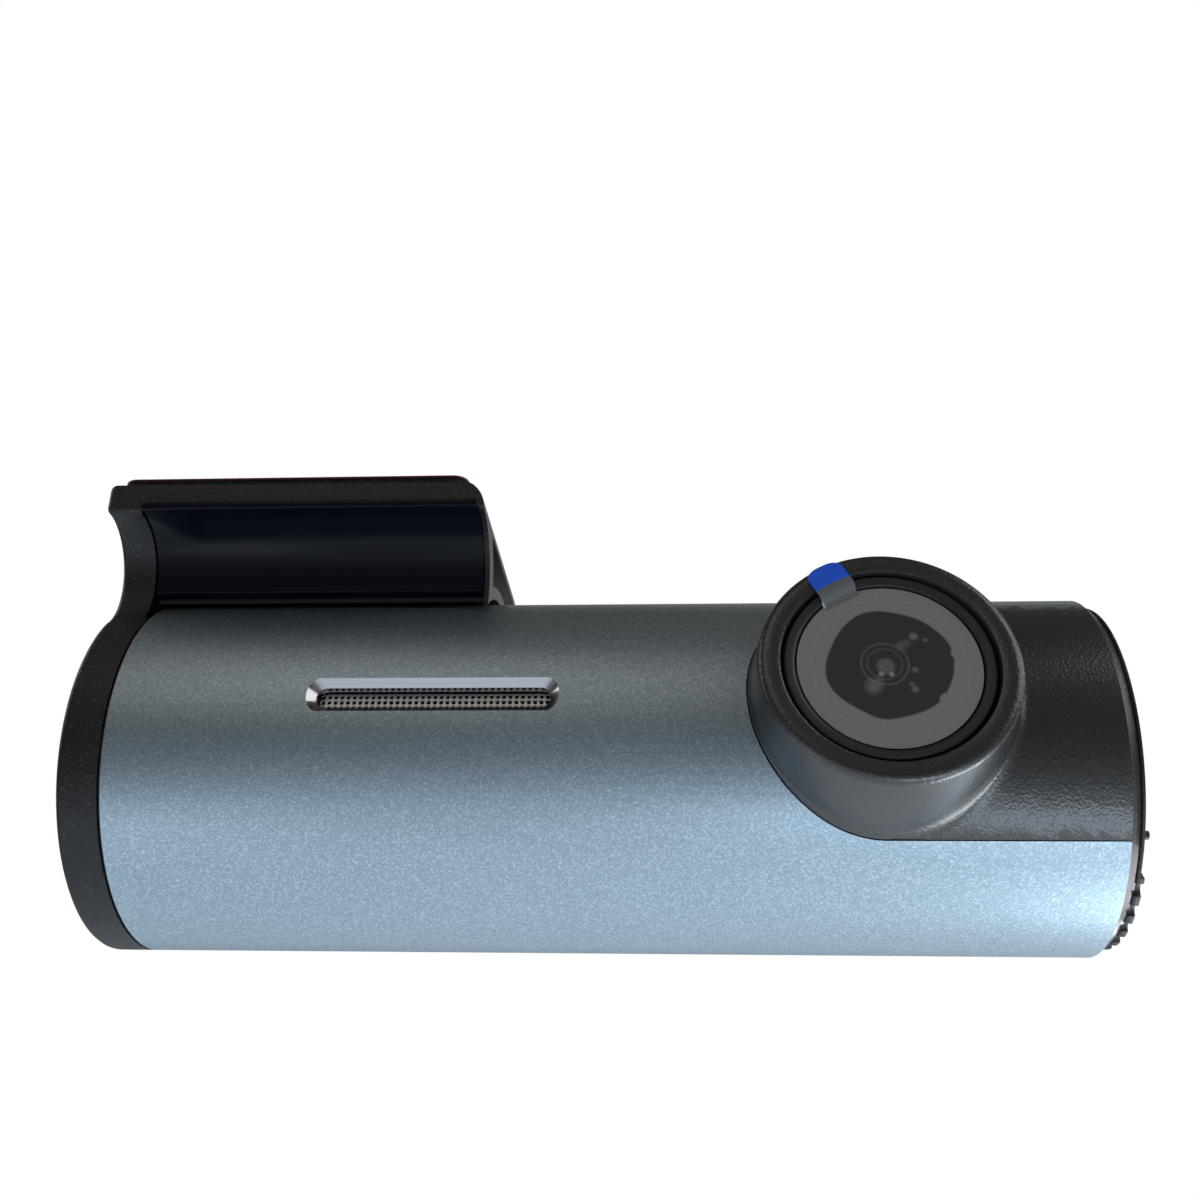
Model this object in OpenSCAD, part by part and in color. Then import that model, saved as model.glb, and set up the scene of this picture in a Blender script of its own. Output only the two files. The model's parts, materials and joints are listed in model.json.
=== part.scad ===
// Tube dash camera that tilts in an arm, which slides on a plate stuck to the windscreen.
// Origin: centre of the adhesive pad's outer face. +Z leaves that face, +X runs along the
// body from the arm to the lens end, and the lens looks along -Y, turned up by rest_tilt.

/* [Body] */
// Outside diameter of the tube body
body_d = 36; // [34:0.5:44]
// Length from the arm's outer face to the right end face
body_len = 100; // [96:1:124]
// Wall of the metal shell
shell_wall = 1.5; // [1.2:0.1:1.8]
// Length along the body of the bright bevel at the shell's right end
bevel_len = 1.1; // [0.6:0.1:1.4]
// Depth of that bevel towards the axis
bevel_depth = 0.9; // [0.5:0.1:1.1]
// Thickness of the end cap's rim beyond the shell
rim_t = 0.3; // [0.2:0.1:1]

/* [Lens] */
// Distance from the lens axis to the right end face
lens_inset = 22.9; // [19:0.1:28]
// Height of the lens rim above the body's surface
lens_rise = 5.6; // [4.6:0.1:7]
// Radius of the rim's front face
rim_r = 11.5; // [11:0.1:12]
// Half width of the black cover, and radius of its round end
cover_r = 12.4; // [12:0.1:13.5]
// Radius of the recess in the rim that holds the trim ring
recess_r = 9.65; // [9.3:0.05:10]
// Radius of the cover glass
window_r = 8.25; // [7.8:0.05:8.4]
// Lens elevation above the pad's plane at rest, in degrees
rest_tilt = 10; // [0:1:20]

/* [Speaker] */
// Length of the speaker slot
slot_len = 24; // [18:0.5:27]
// Width of the speaker slot
slot_w = 3; // [2.4:0.1:3.6]
// Distance from the arm's outer face to the middle of the slot
slot_u = 35.2; // [32:0.1:38]

/* [Arm] */
// Length of the arm along the body
arm_len = 39; // [36:0.1:46]
// Thickness of the disc that carries the pivot
disc_t = 4.1; // [3.6:0.1:5]
// Width of the grained border left of the neck panel
border_w = 3; // [2:0.1:3.5]
// Radius of the concave neck under the lip
neck_r = 5.9; // [5.2:0.1:6.6]
// Height of the lip's underside above the body's surface
neck_h = 5; // [4.6:0.1:6]
// Thickness of the lip
lip_t = 3.4; // [2.6:0.1:3.8]
// Depth of the lip from front to back
lip_depth = 26.7; // [24:0.1:32]
// Thickness of the gloss panel in the neck
panel_t = 0.8; // [0.6:0.1:1]
// Wall behind the panel
neck_wall = 1.4; // [1:0.1:1.8]

/* [Windscreen plate] */
// Width of the plate's dovetail at its bottom
rail_w = 20; // [16:0.5:21]
// Height of the dovetail
rail_t = 1.3; // [1:0.1:1.4]
// Thickness of the plate's flange above the lip
flange_t = 0.5; // [0.4:0.1:1]
// Thickness of the foam tape
foam_t = 0.6; // [0.4:0.1:1.2]
// Thickness of the release liner
liner_t = 0.12; // [0.1:0.02:0.2]

/* [Pivot] */
// Radius of the pivot spindle
spindle_r = 3.5; // [3:0.1:4]
// Wall of the pivot bush
bush_wall = 1.05; // [0.8:0.05:1.2]
// Length of the arm's boss inside the body
boss_len = 5.9; // [5:0.1:8]

/* [Controls] */
// Radius of the power button
button_r = 3.4; // [3:0.1:3.8]
// Travel of the power button
button_travel = 0.4; // [0.3:0.05:0.5]

/* [Hidden] */
$fn = 96;

// Clearances: between moving bodies, between fitted pieces, of the running pivot
gap = 0.3;
fit = 0.05;
run = 0.04;
far = 80;

// Body
body_r = body_d / 2;
bore_r = body_r - shell_wall;
shell_u0 = disc_t + gap;
shell_u1 = body_len - rim_t;
lens_u = body_len - lens_inset;
rim_end_r = body_r - bevel_depth + 0.15;

// Arm section, seen along the body: y back, z up, body axis at zero
lip_z0 = body_r + neck_h;
lip_z1 = lip_z0 + lip_t;
neck_bite = 0.06;
neck_z = lip_z0 - neck_r + neck_bite;
neck_y = -sqrt(pow(body_r + neck_r - neck_bite, 2) - pow(neck_z, 2));
lip_y0 = neck_y - 0.4;
lip_y1 = lip_y0 + lip_depth;
lip_chamfer = 0.6;
skin_r0 = body_r + 2 * gap;
skin_r1 = skin_r0 + 1.3;
panel_sink = 0.3;
corner_r = 3.2;
right_border = 0.5;

// Windscreen plate, stacked on the arm's lip
plate_gap = 0.15;
flange_z = lip_z1 + plate_gap;
foam_z = flange_z + flange_t;
liner_z = foam_z + foam_t;
pad_z = liner_z + liner_t;
pad_u0 = 0.4;
pad_u1 = arm_len - 2.2;
pad_setback = 1.8;
pad_y0 = lip_y0 + pad_setback;
pad_y1 = lip_y1 - pad_setback;
pad_corner = 1.5;
rail_lean = 0.8;
rail_y = (pad_y0 + pad_y1) / 2;
rail_u0 = disc_t + gap;
rail_u1 = arm_len - corner_r - 0.4;

// Pivot, from the arm's outer face inwards
hub_r = 9;
hub_depth = 3;
cover_t = 0.8;
boss_r = 8;
boss_u1 = disc_t + boss_len;
bush_r = spindle_r + run + bush_wall;
bush_flange_r = 6.6;
bush_flange_t = 0.6;
washer_t = 0.5;
screw_head_t = 0.8;
screw_head_r = 5.5;
screw_r = 1.5;
plug_floor_u = boss_u1 + gap;
plug_u1 = plug_floor_u + 2.4;
stop_r = 1;
stop_at = 12.6;
stop_depth = 1.5;
tilt_up = 50;
tilt_down = 40;

// Lens group, measured out from the body axis along the lens axis
rim_z = body_r + lens_rise;
glass_t = 1.2;
film_t = 0.1;
film_r = window_r - 0.05;
seat_z = rim_z - 2.6;
gasket_t = 0.6;
glass_z = seat_z + gasket_t;
film_z = glass_z + glass_t;
ring_z1 = rim_z - 0.4;
ring_r0 = window_r + 0.08;
ring_r1 = recess_r - 0.15;
aperture_r = 7;
seat_t = 1.6;
baffle_z = seat_z - seat_t + 0.4;
baffle_t = 0.9;
baffle_hole_r = 2.8;
element_r = 2.5;
barrel_top = baffle_z - 0.1;
barrel_r = 6;
barrel_len = 11.4;
barrel_z = barrel_top - barrel_len;
board_z = rim_z - 20.2;
pcb_t = 1;
holder_r = 7.6;
holder_z = board_z + pcb_t;
holder_h = 9;
sensor_pcb = 18;
tab_w = 4;
tab_turn = 28.7;

// Inside the camera body, with the lens along -Y
board_y = 7.5;
main_t = 1.2;
board_back = board_y + main_t;
board_h = 24;
board_u0 = plug_u1 + 1.4;
cap_u0 = body_len - 6;
board_u1 = cap_u0 - 1;
plate_y = 2;
plate_t = 1.5;
rail_z = 11.3;
rail_half = 2.2;
post_r = 1.5;
post_z = 10.2;
post_us = [board_u0 + 3, lens_u - 14, board_u1 - 4];
m2_r = 1;
m2_head_r = 1.9;
m16_r = 0.8;
m16_head_r = 1.5;
m16_head_t = 0.8;

// Right end
wall_u0 = body_len - 1.8;
skirt_t = 1.55;
light_r = button_r + 1.2;
button_flange_u = wall_u0 - gap - 0.7;
switch_u0 = body_len - 7;
switch_h = 3;
plunger_u0 = switch_u0 + 1.6;
ridge_h = 0.4;
ridge_w = 1.2;
notch_r = 0.75;
notch_a0 = 62;
notch_step = 9;
notch_count = 13;
card_y = board_y - 1;
card_t = 0.8;
card_len = 15;
card_w = 11;
card_u1 = body_len - 0.1;
card_u0 = card_u1 - card_len;

// Rear port
port_u = 56;
port_len = 13;
port_w = 8;
usb_w = 9;
usb_h = 3.3;

// ---------- helpers ----------

// Body axis frame: x runs from the arm's outer face, y back, z up
module on_axis() {
  translate([-(pad_u0 + pad_u1) / 2, -(pad_y0 + pad_y1) / 2, -pad_z]) children();
}

// The camera body's frame: as on_axis, with the lens along -Y
module cam() {
  on_axis() rotate([-rest_tilt, 0, 0]) children();
}

// The lens frame: z out along the lens axis from the body axis, y up, x along the body
module lens_frame() {
  cam() translate([lens_u, 0, 0]) rotate([90, 0, 0]) children();
}

// Cylinder along the body from u0 to u1
module rod(r, u0, u1) {
  translate([u0, 0, 0]) rotate([0, 90, 0]) cylinder(r = r, h = u1 - u0);
}

// Tube along the body
module tube(r1, r0, u0, u1) {
  difference() {
    rod(r1, u0, u1);
    rod(r0, u0 - 1, u1 + 1);
  }
}

// Ring along the lens axis
module ring(r1, r0, z0, z1) {
  translate([0, 0, z0]) difference() {
    cylinder(r = r1, h = z1 - z0);
    translate([0, 0, -1]) cylinder(r = r0, h = z1 - z0 + 2);
  }
}

// Block between two corners
module block(a, b) {
  translate(a) cube(b - a);
}

// Shape drawn across the body (x = y back, y = z up), extruded from u0 to u1
module across(u0, u1) {
  translate([u0, 0, 0]) rotate([90, 0, 90]) linear_extrude(u1 - u0) children();
}

// Rectangle with round corners
module round_rect(a, b, r) {
  translate([a.x + r, a.y]) square([b.x - a.x - 2 * r, b.y - a.y]);
  translate([a.x, a.y + r]) square([b.x - a.x, b.y - a.y - 2 * r]);
  for (x = [a.x + r, b.x - r], y = [a.y + r, b.y - r]) translate([x, y]) circle(r);
}

// Stadium of total length len and width w, centred
module stadium(len, w) {
  square([len - w, w], center = true);
  for (s = [-1, 1]) translate([s * (len - w) / 2, 0]) circle(w / 2);
}

// ---------- windscreen plate ----------

module pad_block(z0, z1) {
  translate([0, 0, z0]) linear_extrude(z1 - z0)
    round_rect([pad_u0, pad_y0], [pad_u1, pad_y1], pad_corner);
}

// Dovetail across the body, grown by c all round
module dovetail(c) {
  half = rail_w / 2 + c;
  polygon([[rail_y - half, flange_z - plate_gap - rail_t - c],
           [rail_y + half, flange_z - plate_gap - rail_t - c],
           [rail_y + half - rail_lean, flange_z + 0.1],
           [rail_y - half + rail_lean, flange_z + 0.1]]);
}

module windscreen_plate() {
  color([0.06, 0.06, 0.06]) on_axis() {
    union() {
      pad_block(flange_z, foam_z);
      across(rail_u0, rail_u1) dovetail(0);
    }
  }
}

module foam_pad() {
  color([0.12, 0.12, 0.12]) on_axis() pad_block(foam_z, liner_z);
}

module release_liner() {
  color([0.5, 0.06, 0.05]) on_axis() pad_block(liner_z, pad_z);
}

// ---------- arm ----------

module lip_section() {
  front = lip_y0 + lip_chamfer;
  polygon([[front, lip_z0], [lip_y1, lip_z0], [lip_y1, lip_z1], [front, lip_z1],
           [lip_y0, lip_z1 - lip_chamfer], [lip_y0, lip_z0 + lip_chamfer]]);
}

// Solid web between the lip and the body disc, in front of a straight back edge
module web_section() {
  back = [lip_y1 - lip_chamfer, lip_z0 + lip_chamfer];
  reach = norm(back);
  a = atan2(back.y, back.x) - acos(body_r / reach);
  tangent = [body_r * cos(a), body_r * sin(a)];
  front = [neck_y, neck_z] * body_r / (body_r + neck_r);
  polygon([[neck_y, lip_z0 + 0.1], [lip_y1 - lip_chamfer, lip_z0 + lip_chamfer],
           tangent, [0, 0], front, [neck_y, neck_z]]);
}

module disc_section() {
  difference() {
    union() {
      circle(body_r);
      web_section();
      lip_section();
    }
    translate([neck_y, neck_z]) circle(neck_r);
  }
}

// Neck wall, whose front face has radius r about the neck's centre
module neck_section(r) {
  difference() {
    intersection() {
      translate([neck_y, neck_z]) circle(neck_r + panel_sink + panel_t + neck_wall);
      translate([neck_y, neck_z - 0.7 * neck_r]) square([neck_r + 6, 1.7 * neck_r + 0.1]);
    }
    translate([neck_y, neck_z]) circle(r);
    circle(skin_r0);
  }
}

// Curved skin over the body, from the neck to the back
module skin_section() {
  difference() {
    intersection() {
      circle(skin_r1);
      translate([neck_y + 0.75 * neck_r, 0]) square([lip_y1 - neck_y - 0.75 * neck_r, far]);
    }
    circle(skin_r0);
    translate([neck_y, neck_z]) circle(neck_r);
  }
}

// Outline of the arm from the front, which rounds the lip's right corner
module arm_front() {
  square([arm_len - corner_r, lip_z1 + 1]);
  square([arm_len, lip_z1 - corner_r]);
  translate([arm_len - corner_r, lip_z1 - corner_r]) circle(corner_r);
}

module arm() {
  pocket_r = neck_r + panel_sink + panel_t;
  color([0.13, 0.13, 0.14]) on_axis() difference() {
    union() {
      across(0, disc_t) disc_section();
      intersection() {
        across(disc_t - 0.01, arm_len) {
          lip_section();
          neck_section(neck_r);
          skin_section();
        }
        translate([0, far / 2, 0]) rotate([90, 0, 0]) linear_extrude(far) arm_front();
      }
      rod(boss_r, disc_t - 0.01, boss_u1);
    }
    // pocket for the neck panel
    across(border_w, arm_len - right_border) neck_pocket(pocket_r);
    // groove for the plate's dovetail, open at the right end
    across(rail_u0 - gap, arm_len + 1) dovetail(0.1);
    across(rail_u0 - gap, arm_len + 1) translate([rail_y - rail_w / 2 + 0.4, lip_z1 - 0.05])
      square([rail_w - 0.8, 1]);
    // recess for the pivot hardware, and the bush's seat
    rod(hub_r, -1, hub_depth);
    rod(bush_r, -1, boss_u1 + 1);
    across(disc_t - stop_depth - gap, disc_t + 1) stop_slot();
  }
}

// Arc slot that the plug's stop runs in, a little longer than the tilt needs
module stop_slot() {
  half = stop_r + gap;
  margin = 8;
  intersection() {
    difference() {
      circle(stop_at + half);
      circle(stop_at - half);
    }
    polygon(concat([[0, 0]], [for (k = [0 : 4])
      let (t = rest_tilt - tilt_down - margin + k * (tilt_up + tilt_down + 2 * margin) / 4)
        body_r * 1.4 * [sin(t), cos(t)]]));
  }
}

// Region of the neck pocket: between the neck's front face and radius r
module neck_pocket(r) {
  difference() {
    intersection() {
      translate([neck_y, neck_z]) circle(r);
      translate([neck_y, neck_z - 0.06 * neck_r]) square([neck_r + 6, 1.2 * neck_r]);
    }
    translate([neck_y - 1, lip_z0 - 0.02]) square([neck_r + 6, 5]);
  }
}

module neck_panel() {
  color([0.04, 0.05, 0.09]) on_axis() across(border_w + fit, arm_len - right_border - fit) {
    difference() {
      neck_pocket(neck_r + panel_sink + panel_t - fit);
      translate([neck_y, neck_z]) circle(neck_r + panel_sink);
      translate([neck_y, neck_z - 0.06 * neck_r]) square([neck_r + 6, 2 * fit], center = true);
    }
  }
}

// ---------- pivot ----------

module pivot_bush() {
  color([0.9, 0.88, 0.8]) on_axis() difference() {
    union() {
      rod(bush_r - 0.01, hub_depth, boss_u1);
      rod(bush_flange_r, hub_depth - bush_flange_t, hub_depth);
    }
    rod(spindle_r + run, -1, boss_u1 + 1);
  }
}

module hub_cover() {
  color([0.1, 0.1, 0.11]) on_axis() difference() {
    rod(hub_r - fit, 0, cover_t);
    rod(hub_r - 1, -1, 0.2);
  }
}

module pivot_spindle() {
  u0 = hub_depth - bush_flange_t - washer_t;
  color("silver") cam() difference() {
    rod(spindle_r, u0, plug_u1 - 0.2);
    rod(screw_r + fit, u0 - 1, plug_u1 - 1.5);
  }
}

module wave_washer() {
  u1 = hub_depth - bush_flange_t - fit;
  color("gainsboro") cam() tube(bush_flange_r - 0.6, spindle_r + fit, u1 - washer_t + 2 * fit, u1);
}

module pivot_screw() {
  u1 = hub_depth - bush_flange_t - washer_t;
  color("dimgray") cam() difference() {
    union() {
      rod(screw_head_r, u1 - screw_head_t, u1);
      rod(screw_r, u1 - 0.01, plug_u1 - 2.2);
    }
    for (a = [0, 90]) rotate([a, 0, 0]) block([u1 - screw_head_t - 1, -2.4, -0.4],
                                              [u1 - 0.35, 2.4, 0.4]);
  }
}

module left_plug() {
  color([0.16, 0.16, 0.17]) cam() difference() {
    union() {
      rod(bore_r - fit, shell_u0, plug_u1);
      stop_lug();
    }
    rod(boss_r + gap, shell_u0 - 1, plug_floor_u);
    rod(spindle_r + 0.01, shell_u0, plug_u1 + 1);
    // lightening pockets between the hub wall and the rim
    tube_pocket();
    for (s = [-1, 1]) translate([0, plate_y + plate_t / 2, s * rail_z]) {
      rod(m2_r + fit, shell_u0 - 1, plug_u1 + 1);
      rod(m2_head_r + 0.1, shell_u0 - 1, plug_floor_u - 0.4);
    }
  }
}

// Stop that runs in the arm's slot, at the top of the plug's face
module stop_lug() {
  translate([0, 0, stop_at]) rod(stop_r, disc_t - stop_depth, shell_u0 + 1);
}

module tube_pocket() {
  difference() {
    tube(bore_r - 1.6, boss_r + gap + 1.4, plug_floor_u - 0.4, plug_u1 + 1);
    for (s = [-1, 1]) translate([0, plate_y + plate_t / 2, s * rail_z])
      rod(m2_head_r + 1.2, shell_u0, plug_u1 + 2);
    translate([0, 0, stop_at]) rod(stop_r + 0.8, shell_u0, plug_u1 + 2);
  }
}

// ---------- shell and cover ----------

// The body's outside, with its bevelled right end
module body_form(u0) {
  translate([u0, 0, 0]) rotate([0, 90, 0]) rotate_extrude() polygon([
    [0, 0], [body_r, 0], [body_r, shell_u1 - bevel_len - u0],
    [body_r - bevel_depth, shell_u1 - u0], [0, shell_u1 - u0]]);
}

// Outline of the cover, grown by c: a round end, and straight sides to the right end
module cover_outline(c) {
  circle(cover_r + c);
  translate([0, -cover_r - c]) square([lens_inset + 5, 2 * (cover_r + c)]);
}

module slot_cut(c) {
  cam() translate([slot_u, 0, 0]) rotate([90, 0, 0]) linear_extrude(body_r + 2)
    stadium(slot_len + 2 * c, slot_w + 2 * c);
}

// Port window at the back, grown by c
module port_cut(c) {
  cam() translate([port_u, 0, 0]) rotate([-90, 0, 0]) linear_extrude(body_r + 2)
    round_rect([-port_len / 2 - c, -port_w / 2 - c], [port_len / 2 + c, port_w / 2 + c], 2 + c);
}

module shell() {
  color([0.42, 0.48, 0.54]) difference() {
    cam() difference() {
      body_form(shell_u0);
      rod(bore_r, shell_u0 - 1, body_len);
    }
    lens_frame() linear_extrude(far) cover_outline(fit);
    slot_cut(0);
    port_cut(0);
  }
}

// Barrel of the cover: straight inside the wall, leaning in to the rim above it
module housing_barrel() {
  edge = 0.9;
  rotate_extrude() polygon(concat(
    [[0, 8], [cover_r, 8], [cover_r, body_r - 3], [rim_r + 0.25, rim_z - edge]],
    [for (a = [15 : 15 : 90]) [rim_r - edge + edge * cos(a), rim_z - edge + edge * sin(a)]],
    [[0, rim_z]]));
}

module lens_housing() {
  color([0.15, 0.15, 0.16]) difference() {
    union() {
      intersection() {
        cam() body_form(lens_u - cover_r - 1);
        lens_frame() linear_extrude(far) cover_outline(0);
      }
      lens_frame() housing_barrel();
    }
    cam() rod(bore_r, lens_u - far, body_len);
    lens_frame() {
      translate([0, 0, seat_z]) cylinder(r = recess_r, h = 10);
      cylinder(r = aperture_r, h = far);
      cylinder(r = 9, h = seat_z - seat_t);
    }
  }
}

// ---------- lens ----------

module lens_ring() {
  color([0.11, 0.11, 0.12]) lens_frame() rotate_extrude() polygon([
    [ring_r0, seat_z], [ring_r1, seat_z], [ring_r1, ring_z1 - 0.2], [ring_r1 - 0.2, ring_z1],
    [ring_r0 + 0.25, ring_z1 - 0.15], [ring_r0, film_z + 0.2]]);
}

module window_gasket() {
  color([0.05, 0.05, 0.05]) lens_frame() ring(window_r, aperture_r - 0.1, seat_z, glass_z);
}

module lens_window() {
  color([0.2, 0.22, 0.22, 0.5]) lens_frame() translate([0, 0, glass_z])
    cylinder(r = window_r, h = glass_t);
}

module lens_film() {
  color([0.6, 0.6, 0.6, 0.4]) lens_frame() translate([0, 0, film_z])
    cylinder(r = film_r, h = film_t);
}

// Tab of the film: rises over the ring and lies above the rim
module pull_tab() {
  lift_r = film_r - 0.6;
  lift_z = film_z + film_t;
  tab_t = 0.15;
  rest_z = rim_z + 0.1;
  color([0.11, 0.3, 0.73]) lens_frame() rotate([0, 0, tab_turn + 90]) {
    intersection() {
      rotate([90, 0, 0]) linear_extrude(tab_w, center = true) polygon([
        [lift_r, lift_z], [film_r - 0.2, lift_z], [ring_r0 + 0.2, rest_z], [rim_r + 1, rest_z],
        [rim_r + 1, rest_z + tab_t], [ring_r0 + 0.1, rest_z + tab_t],
        [film_r - 0.35, lift_z + tab_t], [lift_r, lift_z + tab_t]]);
      linear_extrude(far) {
        translate([lift_r - 1, -tab_w / 2]) square([rim_r + 0.4 - tab_w / 2 - lift_r + 1, tab_w]);
        translate([rim_r + 0.4 - tab_w / 2, 0]) circle(tab_w / 2);
      }
    }
  }
}

module lens_baffle() {
  color([0.03, 0.03, 0.03]) lens_frame() difference() {
    ring(aperture_r - fit, baffle_hole_r, baffle_z, baffle_z + baffle_t);
    translate([0, 0, baffle_z + 0.3]) cylinder(r1 = baffle_hole_r, r2 = baffle_hole_r + 1.2, h = 1);
  }
}

module lens_barrel() {
  color([0.08, 0.08, 0.09]) lens_frame() difference() {
    union() {
      translate([0, 0, barrel_z]) cylinder(r = barrel_r, h = barrel_len - 1.2);
      translate([0, 0, barrel_z + holder_h - 2]) cylinder(r = barrel_r + 0.7, h = 1.6);
      translate([0, 0, barrel_top - 1.3]) cylinder(r = 4.4, h = 1.3);
    }
    translate([0, 0, barrel_z - 1]) cylinder(r = 4.6, h = barrel_len - 2);
    cylinder(r = element_r + fit, h = far);
  }
}

// Front lens: a short cylinder with a domed face that looks through the baffle
module front_element() {
  dome_r = 4;
  base = barrel_top - 1;
  color([0.25, 0.27, 0.35, 0.6]) lens_frame() intersection() {
    translate([0, 0, base]) cylinder(r = element_r, h = 2.4);
    translate([0, 0, base + 1.7 - dome_r]) sphere(dome_r);
  }
}

module rear_element() {
  color([0.3, 0.32, 0.4, 0.6]) lens_frame() translate([0, 0, barrel_z + 0.8])
    cylinder(r = 4.55, h = 1.4);
}

module lens_holder() {
  base = sensor_pcb - 2;
  color([0.09, 0.09, 0.1]) lens_frame() difference() {
    translate([0, 0, holder_z]) union() {
      cylinder(r = holder_r, h = holder_h);
      translate([-base / 2, -base / 2, 0]) linear_extrude(2.4)
        difference() {
          square(base);
          for (x = [0, base], y = [0, base]) translate([x, y]) circle(3);
        }
    }
    cylinder(r = barrel_r + fit, h = far);
    translate([0, 0, barrel_z + holder_h - 2.05]) cylinder(r = barrel_r + 0.8, h = 8);
  }
}

module image_sensor() {
  color([0.1, 0.25, 0.2]) lens_frame() translate([-3.5, -3, holder_z]) cube([7, 6, 0.9]);
}

module sensor_board() {
  color([0.05, 0.25, 0.12]) lens_frame() difference() {
    translate([-sensor_pcb / 2, -sensor_pcb / 2, board_z]) cube([sensor_pcb, sensor_pcb, pcb_t]);
    for (x = [-1, 1], y = [-1, 1]) translate([x * sensor_hole(), y * sensor_hole(), 0])
      cylinder(r = m16_r + fit, h = far);
  }
}

function sensor_hole() = sensor_pcb / 2 - 1.7;

// Ribbon from the sensor board, back through the chassis, to the main board
module sensor_flex() {
  left = lens_u - sensor_pcb / 2 - 1.2;
  y0 = -board_z;
  t = 0.2;
  color([0.75, 0.5, 0.15]) cam() translate([0, 0, -3]) linear_extrude(6) polygon([
    [left + 4, y0], [left + 4, y0 + t], [left + t, y0 + t], [left + t, board_y],
    [left - 4, board_y], [left - 4, board_y - t], [left, board_y - t], [left, y0]]);
}

// ---------- electronics ----------

module board_holes() {
  for (u = post_us, s = [-1, 1]) translate([u, board_y - 10, s * post_z]) rotate([-90, 0, 0])
    children();
}

module main_board() {
  color([0.04, 0.22, 0.11]) cam() difference() {
    block([board_u0, board_y, -board_h / 2], [board_u1, board_back, board_h / 2]);
    board_holes() cylinder(r = m16_r + fit, h = 30);
  }
}

module processor() {
  color([0.12, 0.12, 0.13]) cam()
    block([lens_u - 6, board_back, -7], [lens_u + 8, board_back + 1.2, 7]);
}

module thermal_pad() {
  color([0.55, 0.6, 0.72]) cam()
    block([lens_u - 6, board_back + 1.2, -7], [lens_u + 8, board_back + 2, 7]);
}

module heat_spreader() {
  color([0.75, 0.76, 0.78]) cam()
    block([lens_u - 11, board_back + 2, -9], [lens_u + 13, board_back + 3.3, 9]);
}

module supercapacitors() {
  color([0.1, 0.16, 0.35]) cam() for (s = [-1, 1]) translate([0, -3.4, s * 6.4])
    rod(4, board_u0 + 2, board_u0 + 22);
}

module wifi_module() {
  color([0.7, 0.7, 0.72]) cam() block([44, board_y - 1.8, -6], [56, board_y, 6]);
}

module wifi_antenna() {
  color([0.8, 0.55, 0.2]) cam() block([42, plate_y - 0.3, 3], [60, plate_y, 8.5]);
}

module microphone() {
  color([0.8, 0.8, 0.78]) cam() block([58, board_y - 1.1, 5], [62, board_y, 8]);
}

module speaker_mesh() {
  top = sqrt(pow(bore_r, 2) - pow(slot_w / 2 + 1.2, 2)) - fit;
  color([0.62, 0.62, 0.6]) cam() translate([slot_u, 0, 0]) rotate([90, 0, 0])
    translate([0, 0, top - 0.35]) linear_extrude(0.35) stadium(slot_len + 2.4, slot_w + 2.4);
}

module speaker_gasket() {
  top = speaker_top();
  color([0.07, 0.07, 0.07]) cam() translate([slot_u, 0, 0]) rotate([90, 0, 0])
    translate([0, 0, top]) linear_extrude(0.8) difference() {
      stadium(slot_len + 2.4, slot_w + 2.4);
      stadium(slot_len, slot_w);
    }
}

function speaker_top() = sqrt(pow(bore_r, 2) - pow(slot_w / 2 + 1.2, 2)) - fit - 0.35 - 0.8;

module speaker_driver() {
  top = speaker_top();
  color([0.2, 0.2, 0.21]) cam() translate([slot_u, 0, 0]) rotate([90, 0, 0]) difference() {
    translate([0, 0, top - 4]) linear_extrude(4) round_rect([-13.6, -5.5], [13.6, 5.5], 2);
    translate([0, 0, top - 0.6]) linear_extrude(1) stadium(slot_len, slot_w + 1);
  }
}

// Metal case for the memory card, open to the right
module card_socket() {
  color([0.78, 0.78, 0.8]) cam() difference() {
    block([card_u0 - 2, board_y - 2, -7], [cap_u0 + 2.4, board_y, 7]);
    block([card_u0 - 1, card_y - 0.6, -card_w / 2 - 0.3], [body_len, card_y + 0.6, card_w / 2 + 0.3]);
  }
}

// Power socket on the back of the main board, open to the rear
module usb_socket() {
  y1 = bore_r - 0.3;
  color([0.72, 0.72, 0.74]) cam() translate([port_u, 0, 0]) rotate([-90, 0, 0]) difference() {
    translate([0, 0, board_back]) linear_extrude(y1 - board_back) stadium(usb_w, usb_h);
    translate([0, 0, board_back + 1.2]) linear_extrude(far) difference() {
      stadium(usb_w - 0.6, usb_h - 0.6);
      stadium(usb_w - 2.2, 0.7);
    }
  }
}

// Insert in the shell's rear window, pierced for the power socket
module port_panel() {
  color([0.1, 0.1, 0.11]) difference() {
    intersection() {
      cam() tube(body_r - 0.15, bore_r, port_u - port_len, port_u + port_len);
      port_cut(-fit);
    }
    cam() translate([port_u, 0, 0]) rotate([-90, 0, 0]) linear_extrude(far)
      stadium(usb_w + 0.4, usb_h + 0.4);
  }
}

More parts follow.
